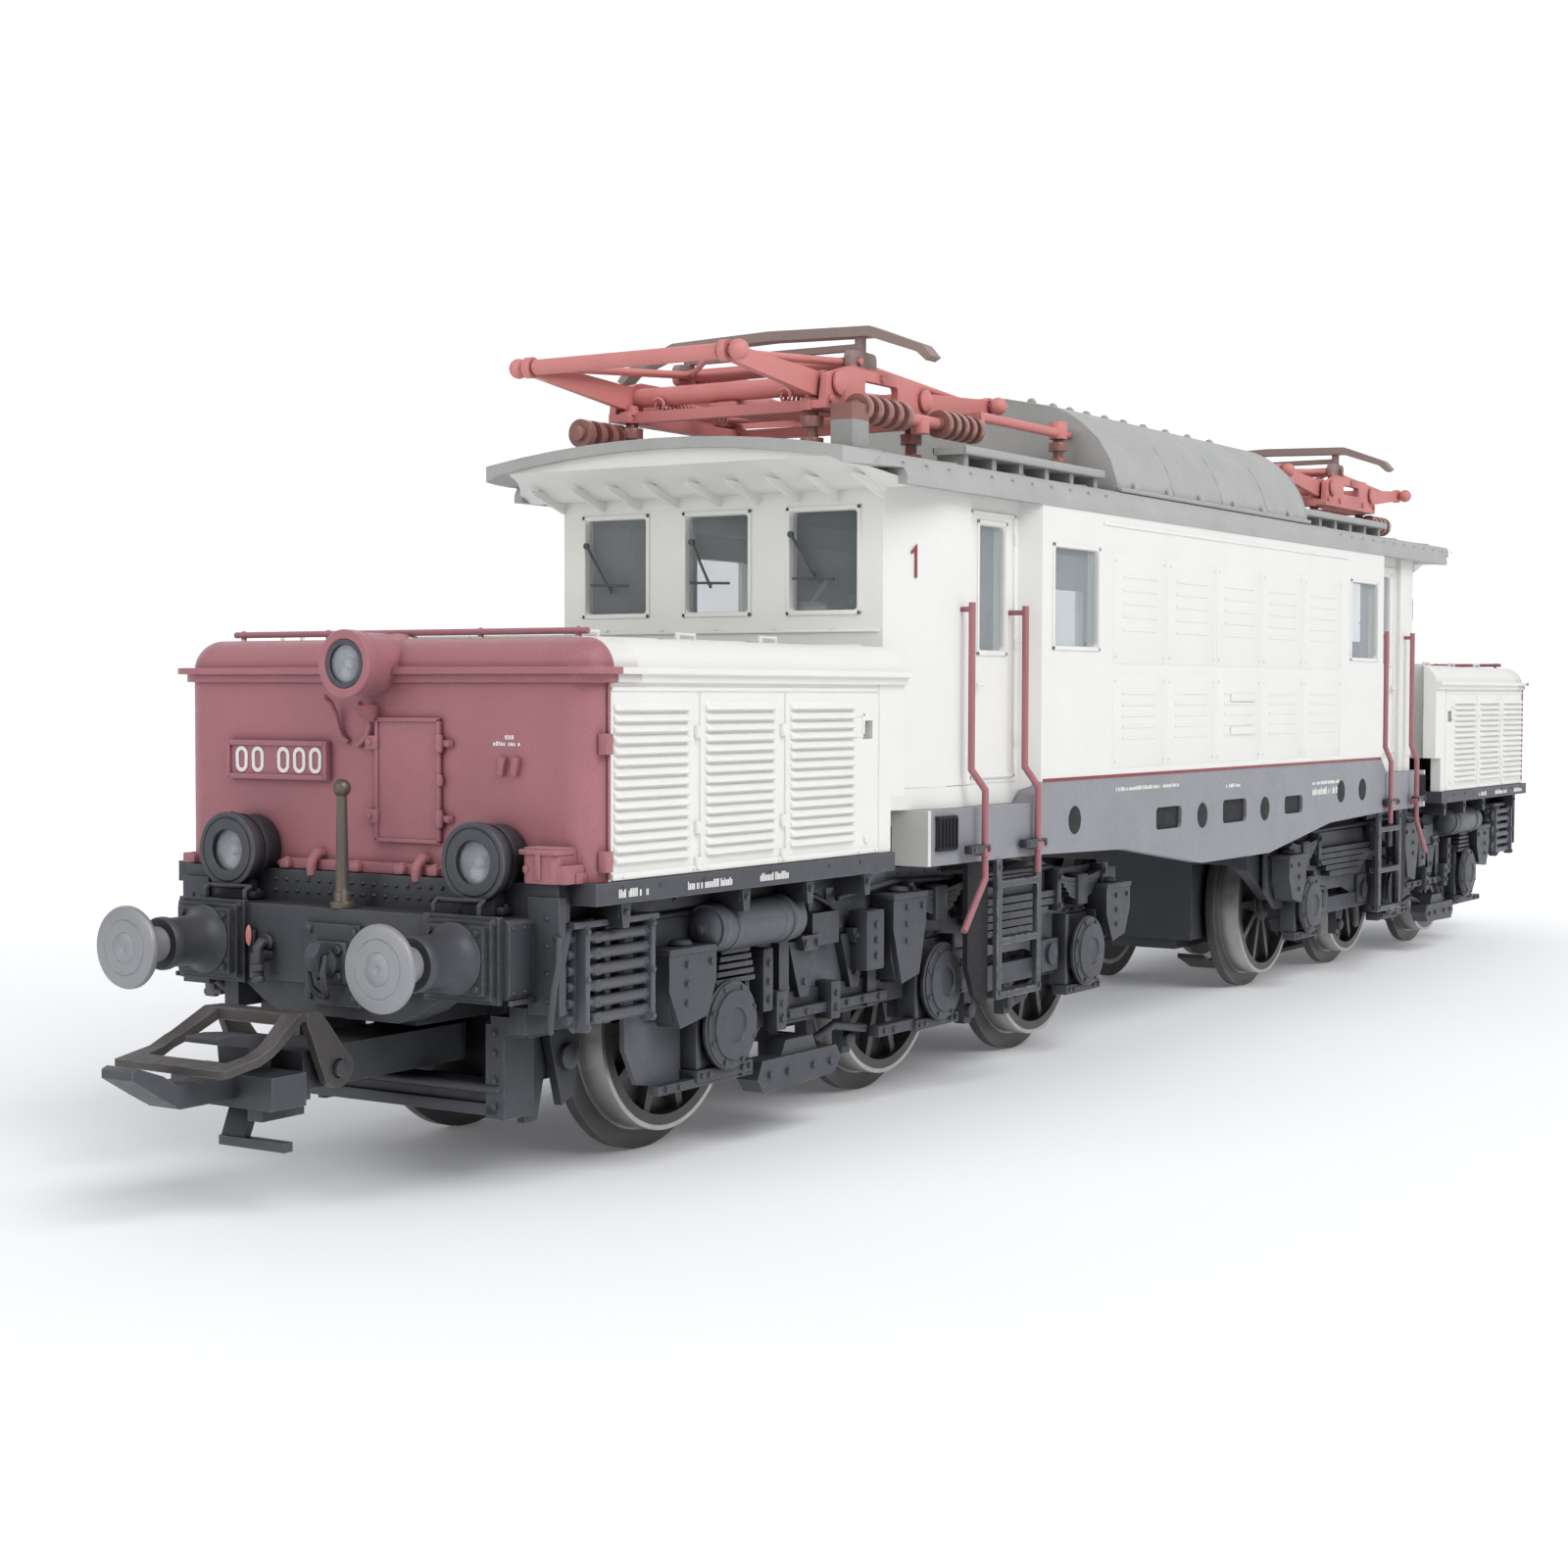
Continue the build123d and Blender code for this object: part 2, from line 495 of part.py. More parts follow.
# ---------------------------------------------------------------- hood and nose
def hood_block(inset):
    """Rounded solid of the whole end hood, moved inwards by the inset."""
    half, top = HOOD_HALF_W - inset, HOOD_TOP - inset
    body = block(-HOOD_FRONT_X + inset, -HOOD_WING_X + 4, -half, half, HOOD_BOTTOM - (1 if inset else 0), top)
    corners = body.edges().filter_by(Axis.Z).group_by(Axis.X)[0]
    body = fillet(corners, 2.1 - inset * 0.8)
    rim = body.edges().group_by(Axis.Z)[-1]
    rim = [e for e in rim if e.center().X < -HOOD_WING_X + 3.9]
    body = fillet(rim, 1.9 - inset * 0.8)
    return body


def hood_region():
    """Where the white hood stands: behind the seam, ahead of the rear wall, wings at the sides."""
    back = [(-HOOD_WING_X, -17.5), (-HOOD_WING_X, -15.2), (-HOOD_REAR_X, -14.7), (-HOOD_REAR_X, 14.7),
            (-HOOD_WING_X, 15.2), (-HOOD_WING_X, 17.5)]
    return prism_z([(-120, -17.5)] + back + [(-120, 17.5)], 10, 40)


def gutter_ring():
    """Double rain ledge that runs round the front and the sides of the hood."""
    ring = block(-HOOD_FRONT_X - 0.55, -HOOD_WING_X, -17.3, 17.3, GUTTER_Z - 0.25, GUTTER_Z + 0.15)
    ring = fillet(ring.edges().filter_by(Axis.Z).group_by(Axis.X)[0], 1.6)
    lower = block(-HOOD_FRONT_X - 0.25, -HOOD_WING_X, -16.95, 16.95, GUTTER_Z - 0.75, GUTTER_Z - 0.25)
    lower = fillet(lower.edges().filter_by(Axis.Z).group_by(Axis.X)[0], 1.9)
    hollow = block(-HOOD_FRONT_X + 0.9, -50, -15.8, 15.8, 30, 32)
    return fuse([ring, lower]) - hollow


def nose_region():
    low = block(-100, -SEAM_X, -18, 18, 10, GUTTER_Z - 0.75)
    high = block(-100, -SEAM_ROOF_X, -18, 18, GUTTER_Z - 0.75, 40)
    return fuse([low, high])


def hood_shell():
    """Closed-topped hood shell before it is split at the seam."""
    shell = hood_block(0) - (hood_block(HOOD_WALL) & block(-120, -HOOD_REAR_X - 1.0, -20, 20, 0, 50))
    shell = (shell & hood_region()).fuse(gutter_ring() & hood_region())
    cut_back = block(-HOOD_CUT_X, -50, -20, 20, 10, 22.6)
    gear_room = block(-HOOD_REAR_X - 2, -50, -15.5, 15.5, 10, 22.6)
    return shell - cut_back - gear_room


def hood():
    """White rear part of the hood, with the latch openings in its sides."""
    shell = hood_shell() - nose_region()
    for side in (-1, 1):
        shell -= block(-65.7, -64.4, side * 15.0, side * 18.0, 26.65, 27.9)
    roof_hatches = [block(x, x + 8.4, -9.5, 9.5, HOOD_TOP - 0.2, HOOD_TOP + 0.25) for x in (-88.0, -77.8)]
    return fuse([shell] + roof_hatches)


def nose():
    """Red front plate with its door, number plate, upper lamp tube and base flange."""
    shell = hood_shell() & nose_region()
    face = -HOOD_FRONT_X
    number_plate = block(face - 0.35, face + 0.2, 3.7, 11.95, 24.45, 26.55)
    door = block(face - 0.22, face + 0.2, -5.3, -0.4, 20.8, 28.1)
    flanges = []
    for y0, y1 in ((-15.9, -12.6), (-7.2, 7.2), (12.6, 15.9)):
        flanges.append(block(face - 0.6, face + 0.4, y0, y1, HOOD_BOTTOM, HOOD_BOTTOM + 0.6))
    box_large = block(face - 1.7, face + 0.2, -15.3, -12.7, HOOD_BOTTOM, 20.85)
    box_large = fillet(box_large.edges().filter_by(Axis.Z).group_by(Axis.X)[0], 0.5)
    box_small = block(face - 1.5, face + 0.2, -15.8, -14.6, HOOD_BOTTOM, 19.85)
    lamp = fuse([rod_x(-98.4, face + 3.0, 0, UPPER_LAMP_Z, UPPER_LAMP_R),
                 rod_x(-98.55, -97.9, 0, UPPER_LAMP_Z, UPPER_LAMP_R + 0.15)])
    lamp -= rod_x(-99, -97.6, 0, UPPER_LAMP_Z, UPPER_LENS_R + 0.05)
    bulb_hole = rod_x(-98, face + 2.0, 0, UPPER_LAMP_Z, 1.1)
    rail_x, rail_z = -93.3, 33.4
    handrail = [rod_y(-14.3, 14.3, rail_x, rail_z, 0.2)]
    handrail += [rod_z(32.6, rail_z, rail_x, y, 0.18) for y in (-13.6, -6.2, 6.2, 13.6)]
    lugs = [block(-SEAM_X - 0.7, -SEAM_X, -16.95, -16.4, z, z + 1.2) for z in (19.4, 26.2)]
    pieces = [shell, number_plate, door, box_large, box_small, lamp - bulb_hole] + flanges + lugs
    return (fuse(pieces) - bulb_hole).fuse(*handrail)


# ---------------------------------------------------------------- buffer beam and lamps
def buffer_beam():
    """Beam with its lower middle part, coupler hook plate, steps and end plates."""
    front, back = -BEAM_FRONT_X, -BEAM_BACK_X
    beam = block(front, back, -BEAM_HALF_W, BEAM_HALF_W, BEAM_BOTTOM, BEAM_TOP)
    beam = fillet(beam.edges().filter_by(Axis.X), 0.35)
    drop_top = BEAM_BOTTOM + 0.2
    drop_line = [(-8.6, drop_top), (-6.4, 10.9), (-4.6, 10.2), (4.6, 10.2), (6.4, 10.9), (8.6, drop_top)]
    drop = prism_x(drop_line, front + 0.4, back)
    shelf = block(-97.0, -HOOD_FRONT_X - 0.05, -15.0, 15.0, BEAM_TOP - 0.3, HOOD_BOTTOM - 0.05)
    end_plates = [block(-97.2, back, s * 12.9, s * 15.2, 11.2, 18.0) for s in (-1, 1)]
    hook_plate = block(front - 0.3, front, -2.2, 2.2, 11.0, 15.9)
    hook = prism_y([(front - 0.2, 13.0), (front - 1.9, 13.2), (front - 2.3, 14.1), (front - 1.7, 14.9),
                    (front - 1.1, 14.5), (front - 1.3, 14.0), (front - 0.2, 14.2)], -0.45, 0.45)
    pads = []
    for y in (-BUFFER_Y, BUFFER_Y):
        for i, size in enumerate((5.6, 5.0, 4.4)):
            half = size / 2
            low, high = BUFFER_Z - half * 0.92, BUFFER_Z + half * 0.88
            pads.append(block(front - 0.35 * (i + 1), front, y - half, y + half, low, high))
    hoses = [fuse([rod_z(12.4, 13.9, front - 0.9, y, 0.42), rod_x(front - 0.9, front, y, 13.7, 0.4)])
             for y in (-5.6, 5.6)]
    return fuse([beam, drop, shelf, hook_plate, hook] + end_plates + pads + hoses)


def buffers():
    """Two buffers: sleeve, collar, plunger and a dished head each."""
    front = -BEAM_FRONT_X - 1.05
    made = []
    for y in (-BUFFER_Y, BUFFER_Y):
        head = rod_x(-HALF_OVER_BUFFERS, -HALF_OVER_BUFFERS + 0.55, y, BUFFER_Z, BUFFER_R)
        cone = Pos(-HALF_OVER_BUFFERS + 0.9, y, BUFFER_Z) * Rot(0, 90, 0) * Cone(2.2, 1.15, 0.7)
        plunger = rod_x(-HALF_OVER_BUFFERS + 0.5, -103.6, y, BUFFER_Z, 1.05)
        collar = rod_x(-104.5, -103.9, y, BUFFER_Z, 1.55)
        sleeve = rod_x(-104.1, front, y, BUFFER_Z, 1.4)
        flare = Pos(front - 1.0, y, BUFFER_Z) * Rot(0, 90, 0) * Cone(1.4, 1.9, 2.0)
        made.append(fuse([head, cone, plunger, collar, sleeve, flare]))
    return made


def headlamps():
    """Two black lamp drums standing on feet above the beam."""
    lamps = []
    for y in (-LOWER_LAMP_Y, LOWER_LAMP_Y):
        drum = fuse([rod_x(-98.1, -95.95, y, LOWER_LAMP_Z, LOWER_LAMP_R),
                     rod_x(-98.5, -97.9, y, LOWER_LAMP_Z, LOWER_LAMP_R + 0.2)])
        hollow = rod_x(-99, -97.2, y, LOWER_LAMP_Z, LOWER_LENS_R + 0.05)
        foot = block(-98.1, -96.4, y - 1.2, y + 1.2, BEAM_TOP, 18.4) - hollow
        shelf_room = block(-97.05, -95.8, y - 3, y + 3, 16, HOOD_BOTTOM - 0.03)
        lamps.append((drum - hollow).fuse(foot) - shelf_room)
    return lamps


def lamp_lenses():
    """Three lenses: two lower lamps and the upper one."""
    places = [(-97.2, y, LOWER_LAMP_Z, LOWER_LENS_R) for y in (-LOWER_LAMP_Y, LOWER_LAMP_Y)]
    places.append((-97.6, 0, UPPER_LAMP_Z, UPPER_LENS_R))
    return [rod_x(x - 0.6, x, y, z, radius) for x, y, z, radius in places]


def signal_post():
    """Slim tapered post with a ball top and a turned brass foot."""
    post = Pos(-98.8, 0, 20.6) * Cone(0.42, 0.3, 6.4)
    foot = fuse([rod_z(BEAM_TOP, 17.2, -98.8, 0, 0.75), rod_z(17.1, 17.8, -98.8, 0, 0.5)])
    return fuse([foot, post, Pos(-98.8, 0, 24.0) * Sphere(0.55)])


# ---------------------------------------------------------------- bogie
def hood_strip():
    """Grey strip under the hood side, also the hood's floor rim."""
    strip = block(-HOOD_FRONT_X - 0.05, -61.7, -16.9, -13.8, 17.5, HOOD_BOTTOM)
    return strip


def chassis():
    """Metal bogie block: two plates, cross members, top plate and the coupler nose."""
    ends = (-88.2, -15.2)
    plates = [block(*ends, y0, y1, 5.4, 17.4) - block(-24.0, -15.0, y0, y1, 14.6, 18)
              for y0, y1 in ((CHASSIS_Y0, CHASSIS_Y1), (GEAR_PLATE_Y0, GEAR_PLATE_Y1))]
    crosses = [block(x0, x1, GEAR_PLATE_Y0, CHASSIS_Y1, 5.4, z1)
               for x0, x1, z1 in ((-88.2, -86.0, 17.4), (-40.0, -36.0, 17.4), (-17.0, -15.2, 14.6))]
    top = block(-58.4, -36.0, -12.6, 12.6, 18.6, 20.0)
    collar = block(-58.4, -44.4, -6.4, 6.4, 17.2, 18.8)
    deck = block(-95.4, -62.2, -13.8, 13.8, 17.5, 18.75)
    deck -= block(-86.2, -60.0, -11.0, 11.0, 17, 19)
    rim = [block(-63.0, -57.6, y0, y1, 17.5, 18.75) for y0, y1 in ((-12.6, -11.0), (11.0, 12.6))]
    bridge = block(-59.2, -57.6, -12.6, 12.6, 17.5, 18.75)
    nose_bar = block(-95.4, -86.0, -2.9, 2.9, 9.5, 17.6)
    pin = rod_z(6.7, 9.6, -COUPLER_PIVOT_X, 0, 1.0)
    arms = [block(x0, x1, y0, y1, 13.0, 14.6) for x0, x1 in ((-87.8, -86.4), (-16.8, -15.4))
            for y0, y1 in ((CHASSIS_Y1, 11.0), (-11.0, GEAR_PLATE_Y1))]
    body = fuse(plates + [top, collar, deck, bridge, nose_bar, pin] + crosses + arms + rim)
    for x in AXLE_XS:
        body -= rod_y(-8, 8, x, AXLE_Z, AXLE_BORE_R)
    body -= rod_z(16, 22, -PIVOT_X, 0, 1.5 + RUN)
    body -= rod_z(15.8, 17.3, -PIVOT_X, 0, 2.9)
    body -= block(-57.6, -45.0, GEAR_PLATE_Y1, CHASSIS_Y0, 5, 17.2)
    return body


def gear_centres():
    """Gear axes in the XZ plane: two low idlers, the middle idler and the motor pinion."""
    low_d = GEAR_MODULE * (AXLE_TEETH + LOW_TEETH) / 2 + BACKLASH
    mid_d = GEAR_MODULE * (LOW_TEETH + MID_TEETH) / 2 + BACKLASH
    pin_d = GEAR_MODULE * (MID_TEETH + PINION_TEETH) / 2 + BACKLASH
    middle_x = (AXLE_XS[0] + AXLE_XS[1]) / 2
    dx, dz = low_d * math.cos(math.radians(25)), low_d * math.sin(math.radians(25))
    low_a = (AXLE_XS[0] + dx, AXLE_Z + dz)
    low_b = (AXLE_XS[1] - dx, AXLE_Z + dz)
    middle = (middle_x, AXLE_Z + dz + math.sqrt(mid_d ** 2 - (middle_x - low_a[0]) ** 2))
    lean = math.radians(128)
    pinion = (middle_x + pin_d * math.cos(lean), middle[1] + pin_d * math.sin(lean))
    return low_a, low_b, middle, pinion


def gear_outline(teeth, centre, phase):
    """Closed polygon of a spur gear with involute flanks thinned for backlash."""
    pitch_r = GEAR_MODULE * teeth / 2
    base_r = pitch_r * math.cos(math.radians(20))
    root_r, tip_r = pitch_r - 1.25 * GEAR_MODULE, pitch_r + 0.9 * GEAR_MODULE
    half_at_pitch = math.pi / (2 * teeth) - 0.07 / pitch_r
    flank_start = max(base_r, root_r)

    def involute(r):
        angle = math.acos(min(1.0, base_r / r))
        return math.tan(angle) - angle

    pitch_roll = involute(pitch_r)
    points = []
    for i in range(teeth):
        mid = phase + 2 * math.pi * i / teeth
        radii = [flank_start + (tip_r - flank_start) * k / 3 for k in range(4)]
        halves = [half_at_pitch + pitch_roll - involute(r) for r in radii]
        root_half = halves[0] + 0.01
        rising = [(root_r, -root_half)] + [(r, -h) for r, h in zip(radii, halves)]
        falling = [(r, -a) for r, a in reversed(rising)]
        for r, a in rising + falling:
            points.append((centre[0] + r * math.cos(mid + a), centre[1] + r * math.sin(mid + a)))
    return points


def meshed_phase(teeth_a, phase_a, centre_a, teeth_b, centre_b):
    """Phase of gear B so that its teeth stand in the gaps of gear A."""
    line = math.atan2(centre_b[1] - centre_a[1], centre_b[0] - centre_a[0])
    share_a = (line - phase_a) / (2 * math.pi / teeth_a)
    return line + math.pi - (0.5 - share_a) * (2 * math.pi / teeth_b)


def gear(teeth, centre, phase, bore):
    """Spur gear in the gear plane, with a bore when it runs on a pin."""
    wheel = prism_y(gear_outline(teeth, centre, phase), GEAR_Y0, GEAR_Y1)
    return wheel - rod_y(GEAR_Y0 - 1, GEAR_Y1 + 1, centre[0], centre[1], bore) if bore else wheel


def gear_phases():
    """Phases of every gear, starting from the first wheelset."""
    low_a, low_b, middle, pinion = gear_centres()
    axle_a, axle_b = (AXLE_XS[0], AXLE_Z), (AXLE_XS[1], AXLE_Z)
    phase = {"axle_a": 0.0}
    phase["low_a"] = meshed_phase(AXLE_TEETH, 0.0, axle_a, LOW_TEETH, low_a)
    phase["middle"] = meshed_phase(LOW_TEETH, phase["low_a"], low_a, MID_TEETH, middle)
    phase["low_b"] = meshed_phase(MID_TEETH, phase["middle"], middle, LOW_TEETH, low_b)
    phase["axle_b"] = meshed_phase(LOW_TEETH, phase["low_b"], low_b, AXLE_TEETH, axle_b)
    phase["pinion"] = meshed_phase(MID_TEETH, phase["middle"], middle, PINION_TEETH, pinion)
    return phase


def motor_housing(centre):
    """Round motor can with closed ends and a bearing hole in each."""
    x, z = centre
    can = rod_y(MOTOR_Y0, MOTOR_Y1, x, z, MOTOR_R)
    can -= rod_y(MOTOR_Y0 + 0.8, MOTOR_Y1 - 0.8, x, z, MOTOR_R - 0.8)
    ends = fuse([can, rod_y(MOTOR_Y1, MOTOR_Y1 + 0.9, x, z, 1.6)])
    return ends - rod_y(MOTOR_Y0 - 1, MOTOR_Y1 + 2, x, z, 0.5 + RUN)


def motor_armature(centre, phase):
    """Wound rotor, commutator, shaft and the pinion on its end."""
    x, z = centre
    shaft = rod_y(GEAR_Y0, MOTOR_Y1 + 0.7, x, z, 0.5)
    rotor = rod_y(-0.6, 5.0, x, z, 4.3)
    for i in range(5):
        turn = math.radians(72 * i)
        rotor -= rod_y(-1, 6, x + 4.3 * math.cos(turn), z + 4.3 * math.sin(turn), 0.7)
    commutator = rod_y(5.0, 7.2, x, z, 2.0)
    return fuse([shaft, rotor, commutator, gear(PINION_TEETH, centre, phase, 0)])


def wheel(x, side):
    """Spoked wheel disc with tyre, flange and hub."""
    face, back = side * WHEEL_FACE_Y, side * WHEEL_BACK_Y
    flange = rod_y(back, back + side * 0.85, x, AXLE_Z, FLANGE_R)
    tyre = fuse([flange, rod_y(back, face, x, AXLE_Z, TREAD_R)])
    tyre = tyre - rod_y(back + side * 1.7, face + side, x, AXLE_Z, TREAD_R - 1.0)
    hub = rod_y(back, face - side * 0.2, x, AXLE_Z, 1.9)
    spokes = []
    for i in range(10):
        spoke = Pos(x, (back + side * 1.6 + face - side * 0.35) / 2, AXLE_Z) * Rot(0, 36 * i, 0)
        spokes.append(spoke * Pos(3.9, 0, 0) * Box(5.2, 0.9, 0.62))
    return fuse([tyre, hub] + spokes)


def wheelset(x, gear_phase=None):
    """Axle with two wheels, and a gear where the axle is driven."""
    axle = rod_y(-WHEEL_FACE_Y - 0.15, WHEEL_FACE_Y + 0.15, x, AXLE_Z, AXLE_R)
    parts = [axle, wheel(x, -1), wheel(x, 1)]
    if gear_phase is not None:
        parts.append(gear(AXLE_TEETH, (x, AXLE_Z), gear_phase, 0))
    return fuse(parts)


def axle_box(x):
    """Round bolted axle-box cover with its lower flange and spring pockets."""
    cover = fuse([rod_y(-14.6, -11.8, x, AXLE_Z, 2.25), rod_y(-15.0, -14.5, x, AXLE_Z, 1.75)])
    pads = block(x - 2.7, x + 2.7, -14.0, -11.6, 6.0, 7.2)
    yoke = block(x - 2.6, x + 2.6, -13.4, -11.2, 7.0, 11.6)
    return fuse([cover, pads, yoke])


def side_frame():
    """Outer bogie side: frame plate with cut-outs, axle boxes, spring hangers, sandboxes."""
    y_out, y_in = -12.2, -11.0
    outline = [
        (-88.4, 9.8), (-86.2, 12.2), (-86.2, 16.6), (-40.0, 16.2), (-24.0, 15.2), (-15.2, 14.8), (-15.2, 12.6),
        (-21.6, 9.2), (-30.6, 9.2), (-32.6, 10.6), (-44.6, 10.6), (-46.6, 9.2), (-55.2, 9.2), (-57.4, 8.2),
        (-72.0, 8.2), (-74.4, 9.2),
    ]
    plate = prism_y(outline, y_out, y_in)
    for x in (-69.6, -66.8, -64.0, -61.2):
        plate -= prism_y([(x - 0.9, 10.0), (x + 0.9, 10.0), (x + 0.35, 13.0), (x - 0.35, 13.0)], -13, -10)
    boxes = [axle_box(x) for x in AXLE_XS]
    lower_tie = block(-75.6, -54.0, -13.2, -12.0, 7.6, 9.6)
    rear_tie = block(-48.8, -28.2, -13.2, -12.0, 7.0, 8.6)
    posts = [block(x - 0.6, x + 0.6, -13.6, -12.0, 7.6, 13.1) for x in (-70.8, -59.2)]
    hanger = block(-67.8, -64.4, -14.0, -12.0, 12.6, 14.8)
    sandboxes = []
    for x0, x1, top in ((-86.0, -81.6, 13.2), (-58.6, -54.4, 15.2), (-23.2, -19.0, 13.6)):
        box_line = [(x0, top), (x1, top), (x1, 11.2), (x1 - 1.6, 9.4), (x0 + 0.6, 9.4), (x0, 11.0)]
        sandboxes.append(prism_y(box_line, -14.8, -12.0))
    springs = []
    for i in range(5):
        cut, z = i * 1.1, 13.4 - i * 0.62
        springs.append(block(-47.5 + cut, -29.5 - cut, -13.9, -12.0, z, z + 0.5))
    step_bar = block(-96.55, -88.0, -12.2, -11.0, 9.8, 11.4)
    strip = hood_strip()
    brackets = [block(x - 0.5, x + 0.5, -16.2, -13.6, 16.6, 17.5) for x in (-92.4, -79.6, -72.0, -64.6)]
    webs = [block(x - 0.5, x + 0.5, -13.9, -12.0, 16.45, 17.5) for x in (-92.4, -79.6, -72.0, -64.6)]
    upper = block(-95.95, -61.9, -13.9, -11.0, 16.4, 17.5)
    return fuse([plate, lower_tie, rear_tie, hanger, step_bar, strip, upper] + boxes + posts + sandboxes +
                springs + brackets + webs)


def pipework():
    """Cooling coil of stacked pipes behind the beam, and the air tank under the hood."""
    coil = []
    for i in range(6):
        z = 10.7 + i * 0.95
        coil.append(rod_x(-95.6, -87.4, -14.4, z, 0.28))
    for x in (-94.9, -92.0, -88.2):
        coil.append(block(x - 0.25, x + 0.25, -14.75, -14.0, 10.2, 15.9))
    coil.append(block(-96.4, -87.0, -14.3, -12.3, 15.7, 16.3))
    tank = [rod_x(-81.2, -71.4, TANK_Y, TANK_Z, TANK_R)]
    tank += [rod_x(x, x + 0.4, TANK_Y, TANK_Z, TANK_R + 0.05) for x in (-80.8, -74.0)]
    return [fuse(coil), fuse(tank)]


def bottom_cover():
    """Lower bogie cover with brake rigging, rail guards and sand pipes."""
    plate = block(-87.6, -15.6, -2.2, 4.6, 4.4, 5.38)
    guard = block(-94.2, -92.6, -8.6, 8.6, 4.3, 6.3)
    tongue = block(-94.2, -86.6, -2.2, 2.2, 4.6, 5.4)
    brackets = [block(-94.6, -91.8, s * 7.6, s * 9.0, 4.2, 9.9) for s in (-1, 1)]
    blade_line = [(-92.0, 9.4), (-89.4, 9.4), (-90.8, 3.6), (-92.0, 3.6)]
    blades = [prism_y(blade_line, y - 0.3, y + 0.3) for y in (-8.2, 8.2)]
    uprights = [block(-94.6, -92.6, s * 8.0, s * 10.95, 9.3, 10.4) for s in (-1, 1)]
    shoes = []
    for x in (-69.4, -60.4, -41.6, -35.4):
        for s in (-1, 1):
            shoes.append(block(x - 0.5, x + 0.5, s * 8.2, s * 9.2, 5.0, 10.0))
        shoes.append(block(x - 0.4, x + 0.4, -9.2, 9.2, 4.5, 5.3))
    return fuse([plate, guard, tongue] + brackets + blades + uprights + shoes)


# ---------------------------------------------------------------- couplers and pickup
def coupler():
    """Close coupler: shank with a pivot eye, broad head with its hook, and the trip strip below."""
    shank = block(-104.6, -COUPLER_PIVOT_X, -2.3, 2.3, 6.8, 9.1)
    eye = rod_z(6.8, 9.1, -COUPLER_PIVOT_X, 0, 2.3)
    cheek = block(-105.0, -101.4, -2.7, 2.7, 6.9, 9.1)
    neck = block(-106.4, -104.4, -2.7, 2.7, 6.3, 8.0)
    head = block(-108.8, -106.1, -4.0, 4.0, 6.3, 8.2)
    hook_line = [(-107.6, 7.9), (-106.2, 7.9), (-105.9, 10.1), (-108.8, 10.4), (-110.2, 10.35),
                 (-110.2, 10.0), (-107.8, 9.6)]
    hook = prism_y(hook_line, -1.3, 1.3)
    beak_line = [(-108.6, 6.8), (-108.6, 8.0), (-113.2, 8.15), (-114.2, 8.8), (-116.0, 9.45), (-116.4, 9.3),
                 (-116.4, 8.8), (-114.4, 7.6), (-113.0, 6.8)]
    beak = prism_y(beak_line, -1.2, 1.2)
    leg = prism_y([(-107.1, 6.4), (-106.5, 6.4), (-107.4, 4.4), (-108.0, 4.2)], -0.9, 0.9)
    trip = block(-108.1, -107.4, -4.2, 0.9, 3.9, 4.45)
    keel = block(-108.2, -104.8, -2.6, -1.5, 5.5, 6.4)
    pin = rod_y(-3.9, 3.9, -BAIL_PIN_X, BAIL_PIN_Z, 0.5)
    body = fuse([shank, eye, cheek, neck, head, hook, beak, leg, trip, keel, pin])
    return body - rod_z(5, 10, -COUPLER_PIVOT_X, 0, 1.0 + RUN)


def coupler_bail():
    """Sheet-metal loop hinged on the coupler pin: two lugs, sloping sides and front lip."""
    outer = [(-105.2, -3.5), (-109.0, -4.3), (-112.7, -4.3), (-112.7, 4.3), (-109.0, 4.3), (-105.2, 3.5)]
    inner = [(-106.5, -2.5), (-109.2, -3.3), (-111.4, -3.1), (-111.4, 3.1), (-109.2, 3.3), (-106.5, 2.5)]
    side = [(-104.9, 11.5), (-106.4, 11.5), (-108.6, 10.2), (-110.1, 9.55), (-112.8, 9.1), (-112.8, 8.65),
            (-110.0, 9.05), (-108.3, 9.75), (-106.1, 11.0), (-104.9, 11.0)]
    loop = prism_z(outer, 8, 12) - prism_z(inner, 7, 13)
    loop &= prism_y(side, -5, 5)
    lug_line = [(-105.6, 11.5), (-104.4, 11.4), (-101.9, 8.4), (-102.2, 7.3), (-104.0, 7.2), (-105.6, 10.9)]
    lug = fuse([prism_y(lug_line, -3.6, -3.1), rod_y(-3.6, -3.1, -BAIL_PIN_X, BAIL_PIN_Z, 1.15)])
    lug -= rod_y(-5, -2, -BAIL_PIN_X, BAIL_PIN_Z, 0.5 + RUN)
    return fuse([loop] + both_sides(lug))


def pickup_shoe():
    """Sprung sliding shoe under the rear bogie: long strip with turned-up ends and a post."""
    strip = block(34.0, 70.0, -1.5, 1.5, 0.5, 0.95)
    ends = [prism_y([(34.0, 0.5), (34.0, 0.95), (30.4, 2.3), (30.4, 1.85)], -1.5, 1.5),
            prism_y([(70.0, 0.5), (70.0, 0.95), (73.6, 2.3), (73.6, 1.85)], -1.5, 1.5)]
    posts = [rod_z(0.8, 7.0, x, 0, 0.9) for x in SHOE_POST_XS]
    return fuse([strip] + posts + ends)


